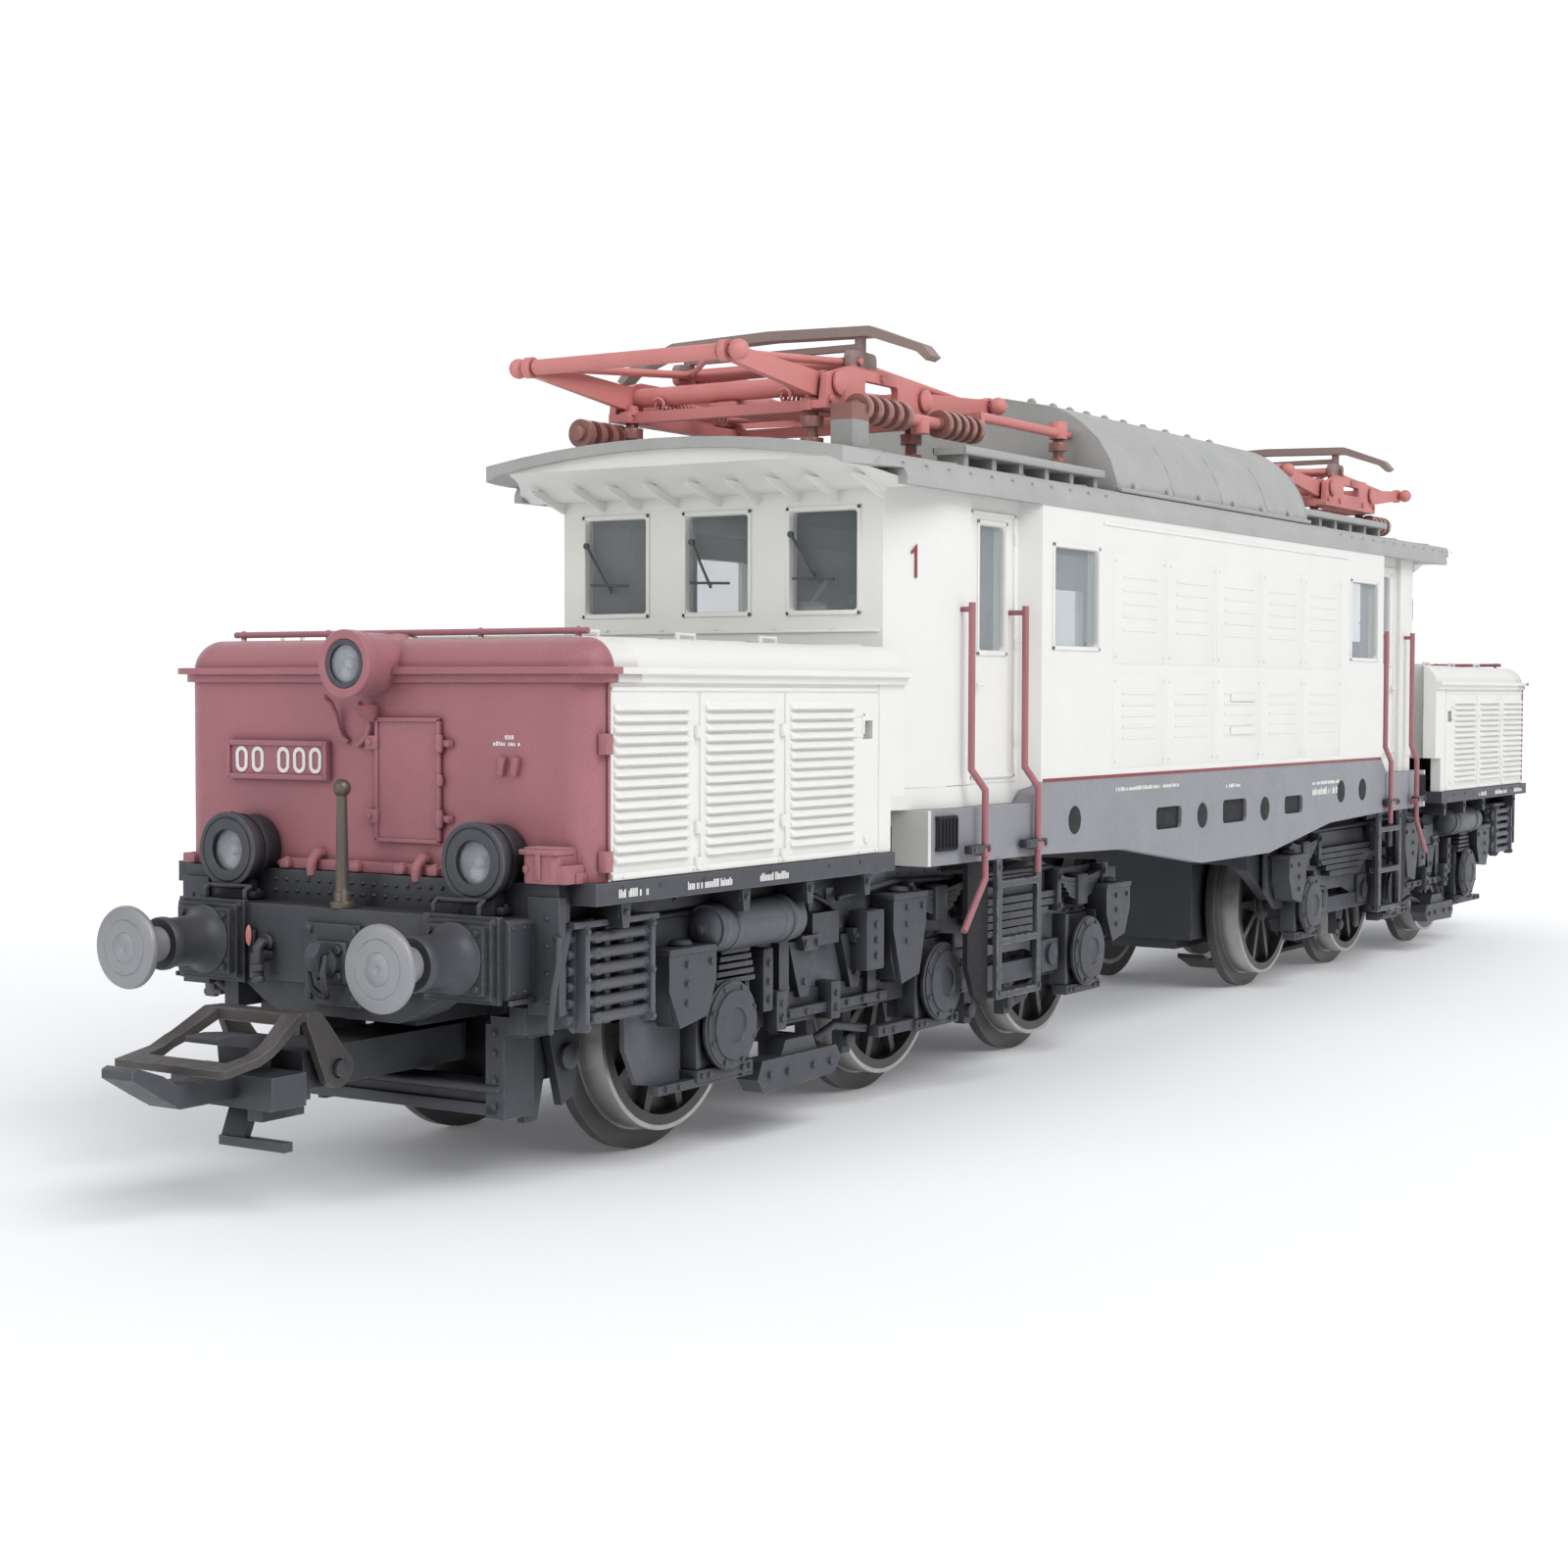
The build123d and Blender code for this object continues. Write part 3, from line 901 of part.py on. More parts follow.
# ---------------------------------------------------------------- write every node
def write_root():
    save("bridge_frame", [bridge_frame()])
    save("body_shell", [body_shell()])
    save("roof_panel", [roof_panel()])
    save("roof_hatch", [roof_hatch()])
    save("cab_glazing", cab_glazing())
    save("cab_handrails", cab_handrails())
    save("boarding_ladders", four_corners(boarding_ladder()))
    save("frame_screws", frame_screws())
    save("circuit_board", [circuit_board()])
    save("roof_insulators", [p for piece in roof_insulators() for p in both_ends(piece)])
    save("roof_busbars", [p for piece in roof_busbars() for p in both_ends(piece)])
    save("pantograph_bases", both_ends(pantograph_base()))


def write_bogies():
    low_a, low_b, middle, pinion = gear_centres()
    front = chassis()
    rear = TURN * chassis()
    pins = [rod_y(GEAR_Y0 - 0.05, GEAR_PLATE_Y0 + 0.2, x, z, 0.6) for x, z in (low_a, low_b, middle)]
    motor_wall = block(pinion[0] - 4.5, middle[0] + 2.0, GEAR_PLATE_Y0, GEAR_PLATE_Y1, 17.0, 23.5)
    front = fuse([front, motor_wall] + pins) - rod_y(MOTOR_Y0 - 0.1, 14, pinion[0], pinion[1], MOTOR_R + 0.03)
    front -= rod_y(-5, 0, pinion[0], pinion[1], 0.9)
    save("front_chassis", [front])
    save("rear_chassis", [rear])
    save_pair("side_frames", both_sides(side_frame()))
    save_pair("buffer_beam", [buffer_beam()])
    save_pair("buffers", buffers())
    save_pair("hood", [hood()])
    save_pair("nose", [nose()])
    save_pair("headlamps", headlamps())
    save_pair("lamp_lenses", lamp_lenses())
    save_pair("signal_post", [signal_post()])
    save_pair("pipework", [p for piece in pipework() for p in both_sides(piece)])
    cover = bottom_cover()
    save("front_bottom_cover", [cover])
    bores = [rod_z(0, 12, x, 0, 0.9 + RUN) for x in SHOE_POST_XS]
    save("rear_bottom_cover", [TURN * cover - bores])
    save("motor_housing", [motor_housing(pinion)])


def write_drive():
    low_a, low_b, middle, pinion = gear_centres()
    phase = gear_phases()
    save("wheelset_1", [wheelset(AXLE_XS[0], phase["axle_a"])])
    save("wheelset_2", [wheelset(AXLE_XS[1], phase["axle_b"])])
    save("wheelset_3", [wheelset(AXLE_XS[2])])
    for number, x in zip((4, 5, 6), reversed(AXLE_XS)):
        save(f"wheelset_{number}", [wheelset(-x)])
    save("motor_armature", [motor_armature(pinion, phase["pinion"])])
    save("idler_gear_front", [gear(LOW_TEETH, low_a, phase["low_a"], 0.6 + RUN)])
    save("idler_gear_middle", [gear(MID_TEETH, middle, phase["middle"], 0.6 + RUN)])
    save("idler_gear_rear", [gear(LOW_TEETH, low_b, phase["low_b"], 0.6 + RUN)])


def write_couplers():
    for end, place in (("front", Rot(0, 0, 0)), ("rear", TURN)):
        save(f"{end}_coupler", [place * coupler()])
        save(f"{end}_coupler_bail", [place * coupler_bail()])
    save("pickup_shoe", [pickup_shoe()])


def write_pantographs():
    for end, place in (("front", Rot(0, 0, 0)), ("rear", TURN)):
        for name, side in (("outer", -1), ("inner", 1)):
            save(f"{end}_pantograph_lower_arm_{name}", [place * lower_arm(side)])
            save(f"{end}_pantograph_upper_arm_{name}", [place * upper_arm(side)])
        save(f"{end}_pantograph_head", [place * pantograph_head()])


write_root()
write_bogies()
write_drive()
write_couplers()
write_pantographs()
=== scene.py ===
"""Looks of the model electric locomotive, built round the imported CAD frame.

Shapes are given in millimetres in the CAD frame: x along the length with the front at -x, y across, z up from the rail.
A piece of an end is made once for the front, and turned half round for the rear.
"""

import json
import math

import bmesh
import bpy
from mathutils import Matrix, Vector


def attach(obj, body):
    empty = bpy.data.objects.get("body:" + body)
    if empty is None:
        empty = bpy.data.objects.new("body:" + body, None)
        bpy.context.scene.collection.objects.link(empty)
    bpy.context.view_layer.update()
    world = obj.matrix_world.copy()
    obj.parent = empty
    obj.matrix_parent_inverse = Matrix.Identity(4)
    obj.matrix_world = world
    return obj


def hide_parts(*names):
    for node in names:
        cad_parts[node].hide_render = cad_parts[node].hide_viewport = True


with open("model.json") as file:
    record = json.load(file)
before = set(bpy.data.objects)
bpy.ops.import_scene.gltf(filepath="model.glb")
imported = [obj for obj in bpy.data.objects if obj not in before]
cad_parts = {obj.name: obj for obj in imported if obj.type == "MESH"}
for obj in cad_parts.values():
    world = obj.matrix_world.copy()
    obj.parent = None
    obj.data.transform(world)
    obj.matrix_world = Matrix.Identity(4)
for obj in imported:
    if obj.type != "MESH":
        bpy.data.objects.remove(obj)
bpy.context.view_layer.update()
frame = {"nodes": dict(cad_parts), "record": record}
NODES = frame["nodes"]
MM = 0.001
HALF_TURN = Matrix.Rotation(math.pi, 4, "Z")
AXLES = (-78.9, -50.9, -26.0, 26.0, 50.9, 78.9)
AXLE_Z = 8.6


# ---------------------------------------------------------------- materials
class Shader:
    """A node material under construction, with short helpers for the usual nodes. Lengths here are in metres."""

    def __init__(self, name):
        self.material = bpy.data.materials.new(name)
        self.material.use_nodes = True
        self.tree = self.material.node_tree
        self.bsdf = self.tree.nodes["Principled BSDF"]
        self.coords = self.add("ShaderNodeTexCoord").outputs["Object"]

    def put(self, node, inputs):
        """Fills a node's inputs, by name or place. A socket is linked; a number or colour is set."""
        for key, value in inputs.items():
            if isinstance(value, bpy.types.NodeSocket):
                self.tree.links.new(value, node.inputs[key])
            else:
                node.inputs[key].default_value = (*value, 1.0) if isinstance(value, tuple) else value

    def finish(self, **inputs):
        """Fills the surface's inputs, named with _ for a space, and gives the material."""
        self.put(self.bsdf, {key.replace("_", " "): value for key, value in inputs.items()})
        return self.material

    def add(self, kind, inputs=None, **settings):
        node = self.tree.nodes.new(kind)
        for key, value in settings.items():
            setattr(node, key, value)
        self.put(node, inputs or {})
        return node

    def noise(self, scale, detail=3.0, rough=0.5):
        inputs = {"Vector": self.coords, "Scale": scale, "Detail": detail, "Roughness": rough}
        return self.add("ShaderNodeTexNoise", inputs).outputs["Fac"]

    def ramp(self, value, low, high, out_low=0.0, out_high=1.0):
        inputs = {"Value": value, "From Min": low, "From Max": high, "To Min": out_low, "To Max": out_high}
        return self.add("ShaderNodeMapRange", inputs, clamp=True).outputs["Result"]

    def math(self, operation, a, b=None):
        return self.add("ShaderNodeMath", {0: a} if b is None else {0: a, 1: b}, operation=operation).outputs[0]

    def times(self, a, b):
        return self.math("MULTIPLY", a, b)

    def mix(self, factor, a, b):
        return self.add("ShaderNodeMix", {"Factor": factor, 6: a, 7: b}, data_type="RGBA").outputs[2]

    def axis(self, index):
        return self.add("ShaderNodeSeparateXYZ", {0: self.coords}).outputs[index]

    def beyond(self, index, edge, both=True):
        """1 past a distance in millimetres along one axis."""
        value = self.axis(index)
        value = self.math("ABSOLUTE", value) if both else value
        return self.ramp(value, (edge - 0.02) * MM, (edge + 0.02) * MM)

    def radius(self, x, z):
        """Distance in metres from an axle at x, z in millimetres, lying along y."""
        across = self.math("SUBTRACT", self.axis(0), x * MM)
        up = self.math("SUBTRACT", self.axis(2), z * MM)
        return self.math("POWER", self.math("ADD", self.times(across, across), self.times(up, up)), 0.5)

    def edges(self, radius):
        """1 on convex and concave edges, from how far a rounded normal leans off the face."""
        bevel = self.add("ShaderNodeBevel", {"Radius": radius}, samples=4)
        flat = self.add("ShaderNodeNewGeometry")
        dot = self.add("ShaderNodeVectorMath", {0: bevel.outputs[0], 1: flat.outputs["Normal"]},
                       operation="DOT_PRODUCT")
        return self.ramp(self.math("SUBTRACT", 1.0, dot.outputs["Value"]), 0.02, 0.22)

    def crevices(self, reach):
        """1 deep in corners and joints, where ambient light is occluded, 0 on open surfaces; it places painted shade.
        """
        node = self.add("ShaderNodeAmbientOcclusion", {"Distance": reach}, samples=4)
        return self.ramp(node.outputs["AO"], 0.95, 0.35)

    def bump(self, height, strength, depth, normal=None):
        inputs = {"Height": height, "Strength": strength, "Distance": depth}
        if normal is not None:
            inputs["Normal"] = normal
        return self.add("ShaderNodeBump", inputs).outputs["Normal"]


def srgb(red, green, blue):
    """Linear colour from 8-bit display values."""
    return tuple(((v / 255 + 0.055) / 1.055) ** 2.4 if v > 10 else v / 255 / 12.92 for v in (red, green, blue))


def scaled(color, factor):
    return tuple(min(v * factor, 1.0) for v in color)


def paint(name, color, rough=0.55, metallic=0.0, speckle=0.10, mottle=0.05, grain=1.0, edge=None, edge_wear_and_highlight_share=0.4,
          shade_and_grime=None, shade_and_grime_share=0.5, shade_and_grime_reach=0.0007, coat=0.0, sheen=0.0, round_edges=0.00008, tint=None, zone=None):
    """Sprayed model paint: fine pigment grain, cloudy tone, edges lightened as painted highlight and wear, corners and
    joints darkened as painted shade and grime.

    zone is (mask, color): a second colour where the mask function gives 1.
    """
    sh = Shader(name)
    cloud = sh.ramp(sh.noise(210.0, 4.0, 0.6), 0.3, 0.7)
    base = sh.mix(cloud, scaled(color, 1 - mottle), tint or scaled(color, 1 + mottle))
    if zone is not None:
        mask, tone = zone
        base = sh.mix(mask(sh), base, sh.mix(cloud, scaled(tone, 1 - mottle), scaled(tone, 1 + mottle)))
    grains = sh.noise(11000.0, 2.0, 0.65)
    base = sh.mix(sh.ramp(grains, 0.52, 0.72, 0.0, speckle * 2), base, scaled(color, 1.55))
    base = sh.mix(sh.ramp(grains, 0.48, 0.3, 0.0, speckle * 2), base, scaled(color, 0.55))
    # Painted highlight and wear: edges lighter towards the edge colour, in patches.
    if edge is not None:
        wear_and_highlight = sh.times(sh.edges(round_edges * 1.4), sh.ramp(sh.noise(900.0, 4.0, 0.7), 0.38, 0.62))
        base = sh.mix(sh.times(wear_and_highlight, edge_wear_and_highlight_share), base, edge)
    # Painted shade and grime: darker towards the given colour in corners and joints, where ambient light is occluded.
    if shade_and_grime is not None:
        base = sh.mix(sh.times(sh.crevices(shade_and_grime_reach), shade_and_grime_share), base, shade_and_grime)
    if sheen:
        sh.finish(Sheen_Weight=sheen, Sheen_Roughness=0.4)
    if coat:
        sh.finish(Coat_Weight=coat, Coat_Roughness=0.25)
    sh.finish(Base_Color=base, Metallic=metallic,
              Roughness=sh.ramp(sh.noise(1500.0, 3.0), 0.3, 0.7, rough - 0.06, rough + 0.08))
    fine = sh.bump(grains, 0.35 * grain, 0.00002)
    return sh.finish(Normal=sh.bump(sh.noise(1700.0, 3.0), 0.18 * grain, 0.00004, fine))


def nose_roof_mask(sh):
    """1 on the strip of the nose that is hood-coloured: above its seam and behind its front."""
    return sh.ramp(sh.math("ADD", sh.beyond(0, 93.9), sh.beyond(2, 33.1)), 1, 0)


def bracket_mask(sh):
    """1 on the foot of the bracket that carries the line insulators."""
    out = sh.times(sh.beyond(0, 56.8), sh.beyond(1, 10.0))
    return sh.times(out, sh.math("SUBTRACT", 1.0, sh.beyond(2, 49.2, False)))


def wheel(name, x):
    """Blackened wheel with a thin bright rim, told apart by distance from its axle."""
    sh = Shader(name)
    away = sh.radius(x, AXLE_Z)
    rim = sh.times(sh.ramp(away, 0.00684, 0.00692), sh.ramp(away, 0.0074, 0.0073))
    cloud = sh.ramp(sh.noise(240.0, 4.0, 0.6), 0.3, 0.7)
    dark = sh.mix(cloud, srgb(62, 60, 62), srgb(84, 82, 84))
    base = sh.mix(rim, dark, sh.mix(cloud, srgb(176, 174, 172), srgb(206, 204, 202)))
    # Painted highlight and wear on the edges, and painted shade and grime in corners and joints.
    base = sh.mix(sh.times(sh.edges(0.0001), 0.5), base, srgb(168, 166, 164))
    base = sh.mix(sh.times(sh.crevices(0.0008), 0.6), base, srgb(30, 28, 28))
    return sh.finish(Base_Color=base, Metallic=sh.ramp(rim, 0.0, 1.0, 0.1, 0.85),
                     Roughness=sh.ramp(sh.noise(1800.0, 3.0), 0.3, 0.7, 0.3, 0.44),
                     Normal=sh.bump(sh.noise(5200.0, 2.0), 0.25, 0.00002))


def clear(name, color, rough, alpha_low, alpha_high):
    """Thin clear moulding: mostly see-through, with a sheen that grows towards grazing angles."""
    sh = Shader(name)
    sh.finish(Base_Color=sh.mix(sh.ramp(sh.noise(300.0), 0.35, 0.65), scaled(color, 0.9), color),
              Roughness=sh.ramp(sh.noise(700.0), 0.3, 0.7, rough, rough + 0.05), IOR=1.4)
    facing = sh.add("ShaderNodeLayerWeight", {"Blend": 0.35}).outputs["Facing"]
    return sh.finish(Alpha=sh.ramp(facing, 0.1, 0.95, alpha_low, alpha_high),
                     Normal=sh.bump(sh.noise(420.0, 1.0), 0.05, 0.00005))


RED = srgb(163, 105, 112)
WHITE = srgb(232, 232, 228)
BLACK = srgb(70, 72, 78)
# In these looks the colour for corners and joints is painted shade and grime, and the edge colour is painted highlight
# and wear.
WINE_RED = dict(color=RED, rough=0.5, speckle=0.13, mottle=0.06, grain=1.6, edge=srgb(198, 144, 150),
                shade_and_grime=srgb(88, 34, 42), shade_and_grime_share=0.55, sheen=0.3)

# Looks by name. A material slot of the record has the look of the same name.
M = {
    "nose_red": paint("wine_red_paint", **WINE_RED),
    "nose_shell": paint("wine_red_shell", **WINE_RED, zone=(nose_roof_mask, WHITE)),
    "shade_black": paint("shade_black", srgb(30, 31, 34), 0.7, speckle=0.08, mottle=0.1),
    "signal_red": paint("signal_red_paint", srgb(208, 132, 128), 0.5, speckle=0.08, edge=srgb(226, 156, 150),
                        shade_and_grime=srgb(110, 48, 46), shade_and_grime_share=0.4),
    "body_white": paint("off_white_paint", WHITE, 0.5, speckle=0.03, mottle=0.015, grain=0.8,
                        shade_and_grime=srgb(200, 198, 190), shade_and_grime_share=0.25),
    "frame_grey": paint("frame_grey_paint", srgb(142, 143, 149), 0.5, speckle=0.08, edge=srgb(184, 186, 190),
                        shade_and_grime=srgb(70, 72, 76), shade_and_grime_share=0.4,
                        zone=(lambda sh: sh.beyond(0, 56.1), srgb(222, 222, 218))),
    "roof_grey": paint("roof_grey_paint", srgb(170, 171, 169), 0.6, mottle=0.06, grain=1.2,
                       edge=srgb(184, 185, 180), edge_wear_and_highlight_share=0.35, shade_and_grime=srgb(84, 84, 80)),
    # Underframe black, darkened strongly in corners and joints as painted shade and grime, with edges lightened as
    # painted highlight and wear.
    "chassis_black": paint("underframe_black", BLACK, 0.48, mottle=0.08, edge=srgb(156, 158, 164), edge_wear_and_highlight_share=0.6,
                           shade_and_grime=srgb(16, 17, 20), shade_and_grime_share=0.95, shade_and_grime_reach=0.0028),
    "gear_plastic": paint("acetal_gear", srgb(196, 190, 176), 0.4, speckle=0.04),
    "board_green": paint("board_green", srgb(42, 104, 66), 0.35, speckle=0.08, coat=0.3),
    "screw_steel": paint("blued_screw", srgb(120, 120, 124), 0.35, metallic=0.8, speckle=0.08),
    "motor_steel": paint("motor_can", srgb(150, 150, 150), 0.35, metallic=0.85, speckle=0.06),
    "coupler_steel": paint("burnished_coupler", srgb(86, 83, 82), 0.42, metallic=0.25, speckle=0.12, mottle=0.12,
                           edge=srgb(176, 168, 160), edge_wear_and_highlight_share=0.7, shade_and_grime=srgb(60, 54, 52), tint=srgb(76, 71, 69)),
    "insulator_brown": paint("glazed_insulator", srgb(146, 100, 92), 0.32, speckle=0.08, mottle=0.12, coat=0.35,
                             edge=srgb(186, 140, 130), shade_and_grime=srgb(70, 38, 34), shade_and_grime_share=0.6,
                             zone=(bracket_mask, srgb(158, 160, 158))),
    "post_bronze": paint("bronze_post", srgb(104, 96, 88), 0.42, metallic=0.55, mottle=0.15),
    "buffer_metal": paint("buffer_grey", srgb(150, 151, 155), 0.46, metallic=0.35, mottle=0.06,
                          edge=srgb(196, 197, 200), edge_wear_and_highlight_share=0.5),
    "tank_paint": paint("tank_paint", srgb(84, 86, 92), 0.42, speckle=0.08, mottle=0.06, edge=srgb(150, 151, 156),
                        shade_and_grime=srgb(48, 49, 53), shade_and_grime_share=0.4),
    # Near-black ladder whose edges are lightened to near-white: painted highlight and wear.
    "ladder_wear_and_highlight": paint("wear_and_highlight_ladder", BLACK, 0.45, mottle=0.08, edge=srgb(206, 207, 209), edge_wear_and_highlight_share=0.9,
                         shade_and_grime=srgb(24, 25, 28), round_edges=0.00015),
    "lettering_red": paint("lettering_red", srgb(140, 62, 70), 0.5, speckle=0.05, mottle=0.04, grain=0.6),
    "cab_grey": paint("cab_lining", srgb(150, 150, 148), 0.6, speckle=0.06),
    "panto_red": paint("collector_red", srgb(208, 134, 130), 0.5, speckle=0.08, edge=srgb(226, 160, 154),
                       shade_and_grime=srgb(110, 50, 48), shade_and_grime_share=0.4,
                       zone=(lambda sh: sh.beyond(2, 53.95, False), srgb(142, 128, 122))),
    "lettering_white": paint("lettering_white", WHITE, 0.5, speckle=0.04, mottle=0.03, grain=0.6),
    "reflector": paint("lamp_reflector", srgb(150, 147, 150), 0.3, metallic=0.8, speckle=0.03, mottle=0.03, grain=0.3),
}

M["glass"] = clear("window_glass", srgb(206, 214, 220), 0.06, 0.12, 0.5)
M["lamp_glass"] = clear("lamp_glass", srgb(200, 208, 216), 0.05, 0.22, 0.7)
M["bulb"] = clear("bulb_glass", srgb(228, 232, 236), 0.15, 0.55, 0.9)

RECORD_SLOT = {row["node"]: row["material_slot"] for row in frame["record"]["subparts"]}
BEVEL_WIDTH = {"body_shell": 0.12, "bridge_frame": 0.12, "roof_hatch": 0.12, "roof_panel": 0.1}
USUAL_BEVEL = 0.07


def modify(piece, name, kind, **settings):
    modifier = piece.modifiers.new(name, kind)
    for key, value in settings.items():
        setattr(modifier, key, value)


def soften(piece, width):
    """Rounds a CAD node's sharp edges on its shown mesh only, as moulding and paint do."""
    modify(piece, "weld", "WELD", merge_threshold=1e-6)
    if not piece.name.endswith(("side_frames", "ladders")):  # their faces come out torn when they are merged
        modify(piece, "merge_flat", "DECIMATE", decimate_type="DISSOLVE", angle_limit=math.radians(0.4))
    modify(piece, "round_edges", "BEVEL", width=width * MM, segments=2, limit_method="ANGLE",
           angle_limit=math.radians(32), use_clamp_overlap=True)
    modify(piece, "even_normals", "WEIGHTED_NORMAL", keep_sharp=True)
    piece.data.shade_smooth()


OWN_LOOK = {f"wheelset_{i + 1}": wheel(f"wheel_{i + 1}", x) for i, x in enumerate(AXLES)}
for end in ("front", "rear"):
    OWN_LOOK[f"{end}_pipework"] = M["tank_paint"]
    OWN_LOOK[f"{end}_nose"] = M["nose_shell"]
    OWN_LOOK[f"{end}_pantograph_head"] = M["panto_red"]
OWN_LOOK["cab_handrails"] = M["nose_red"]
OWN_LOOK["boarding_ladders"] = M["ladder_wear_and_highlight"]

for node_name, piece in NODES.items():
    piece.data.materials.clear()
    piece.data.materials.append(OWN_LOOK.get(node_name) or M[RECORD_SLOT[node_name]])
    soften(piece, BEVEL_WIDTH.get(node_name, USUAL_BEVEL))


# ---------------------------------------------------------------- mesh building
AXES = {"x": Vector((1, 0, 0)), "y": Vector((0, 1, 0)), "z": Vector((0, 0, 1)),
        "-x": Vector((-1, 0, 0)), "-y": Vector((0, -1, 0)), "-z": Vector((0, 0, -1))}
OUTWARD = {-1: "-y", 1: "y"}


class Solid:
    """Closed shapes gathered into one mesh. Millimetres, in the frame of the end at -x."""

    def __init__(self):
        self.bm = bmesh.new()

    def round_off(self, verts, width, segments=2):
        edges = {e for v in verts for e in v.link_edges if e.calc_face_angle(0.0) > 0.5}
        if width and edges:
            bmesh.ops.bevel(self.bm, geom=list(edges), offset=width * MM, segments=segments, profile=0.5,
                            affect="EDGES", clamp_overlap=True)

    def box(self, x, y, z, width=0.06, segments=2):
        spans = [sorted(span) for span in (x, y, z)]
        centre = Vector([sum(span) / 2 for span in spans]) * MM
        size = [(span[1] - span[0]) * MM for span in spans]
        place = Matrix.Translation(centre) @ Matrix.Diagonal((*size, 1.0))
        made = bmesh.ops.create_cube(self.bm, size=1.0, matrix=place)
        self.round_off(made["verts"], min(width, 0.4 * min(size) / MM), segments)
        return self

    def prism(self, axis, outline, a, b, width=0.05, segments=2):
        """Outline run along an axis from a to b. It is (y, z), (x, z) or (x, y) points."""
        spot = {"x": lambda u, v, w: (w, u, v), "y": lambda u, v, w: (u, w, v), "z": lambda u, v, w: (u, v, w)}[axis]
        rings = [[self.bm.verts.new(Vector(spot(u, v, w)) * MM) for u, v in outline] for w in (a, b)]
        self.bm.faces.new(rings[0])
        self.bm.faces.new(rings[1][::-1])
        for i in range(len(outline)):
            j = (i + 1) % len(outline)
            self.bm.faces.new((rings[0][i], rings[0][j], rings[1][j], rings[1][i]))
        self.round_off(rings[0] + rings[1], width, segments)
        return self

    def skin(self, rings, close_ends=True):
        """Closed skin over rings of points that all have the same count."""
        rows = [[self.bm.verts.new(Vector(p) * MM) for p in ring] for ring in rings]
        count = len(rows[0])
        for a, b in zip(rows, rows[1:]):
            for i in range(count):
                j = (i + 1) % count
                self.bm.faces.new((a[i], a[j], b[j], b[i]))
        if close_ends:
            self.bm.faces.new(rows[0][::-1])
            self.bm.faces.new(rows[-1])
        return self

    def lathe(self, profile, origin, axis="x", sides=36, scale=(1.0, 1.0)):
        """Turned shape: (radius, height) points from the origin along the axis. Radius 0 closes an end."""
        along = AXES[axis]
        side = Vector((along.z, along.x, along.y))
        other = along.cross(side)
        base = Vector(origin)
        rows = []
        for radius, height in profile:
            spot = base + along * height
            if radius <= 1e-6:
                rows.append([self.bm.verts.new(spot * MM)])
                continue
            ring = []
            for i in range(sides):
                turn = 2 * math.pi * i / sides
                out = side * (math.cos(turn) * scale[0]) + other * (math.sin(turn) * scale[1])
                ring.append(self.bm.verts.new((spot + out * radius) * MM))
            rows.append(ring)
        for a, b in zip(rows, rows[1:]):
            for i in range(sides):
                j = (i + 1) % sides
                corners = [a[i % len(a)], a[j % len(a)], b[j % len(b)], b[i % len(b)]]
                unique = list(dict.fromkeys(corners))
                if len(unique) > 2:
                    self.bm.faces.new(unique)
        for ring in (rows[0], rows[-1]):
            if len(ring) > 1:
                self.bm.faces.new(ring)
        return self

    def ring(self, inner, outer, height, origin, axis="x", sides=36, lip=0.06):
        """Turned ring with softened rims, standing up from the origin along the axis."""
        along = AXES[axis]
        side = Vector((along.z, along.x, along.y))
        other = along.cross(side)
        section = [(inner, 0), (outer, 0), (outer, height - lip), (outer - lip, height), (inner + lip, height),
                   (inner, height - lip)]
        rows = []
        for i in range(sides):
            turn = 2 * math.pi * i / sides
            out = side * math.cos(turn) + other * math.sin(turn)
            rows.append([self.bm.verts.new((Vector(origin) + out * r + along * h) * MM) for r, h in section])
        for i in range(sides):
            a, b = rows[i], rows[(i + 1) % sides]
            for k in range(len(section)):
                m = (k + 1) % len(section)
                self.bm.faces.new((a[k], a[m], b[m], b[k]))
        return self

    def tube(self, points, radius, sides=10):
        """Round bar along points, with short rounded ends."""
        path = [Vector(p) for p in points]
        ahead = (path[1] - path[0]).normalized()
        side = ahead.orthogonal().normalized()
        rings = []
        for i, spot in enumerate(path):
            before = (spot - path[i - 1]).normalized() if i else ahead
            after = (path[i + 1] - spot).normalized() if i + 1 < len(path) else before
            heading = (before + after).normalized()
            side = (side - heading * side.dot(heading)).normalized()
            other = heading.cross(side)
            stretch = 1.0 / max(0.5, heading.dot(after))
            rings.append([spot + (side * math.cos(t) * stretch + other * math.sin(t) * stretch) * radius
                          for t in (2 * math.pi * k / sides for k in range(sides))])
        start, end = path[0], path[-1]
        cap_a = [start + (p - start) * 0.6 - (path[1] - path[0]).normalized() * radius * 0.35 for p in rings[0]]
        cap_b = [end + (p - end) * 0.6 + (path[-1] - path[-2]).normalized() * radius * 0.35 for p in rings[-1]]
        return self.skin([cap_a] + rings + [cap_b])

    def coil(self, start, end, radius, wire, turns):
        """Helical spring between two points."""
        a, b = Vector(start), Vector(end)
        along = (b - a).normalized()
        side = along.orthogonal().normalized()
        other = along.cross(side)
        steps = turns * 12
        path = []
        for i in range(steps + 1):
            turn = 2 * math.pi * turns * i / steps
            path.append(a + (b - a) * (i / steps) + (side * math.cos(turn) + other * math.sin(turn)) * radius)
        return self.tube(path, wire, 6)

    def bolt(self, spot, axis, radius=0.2, height=0.16):
        """Hexagon head on a washer."""
        r, h = radius, height
        self.lathe([(r * 1.35, 0), (r * 1.35, h * 0.25)], spot, axis, 12)
        return self.lathe([(r, h * 0.2), (r, h * 0.85), (r * 0.8, h), (0, h)], spot, axis, 6)

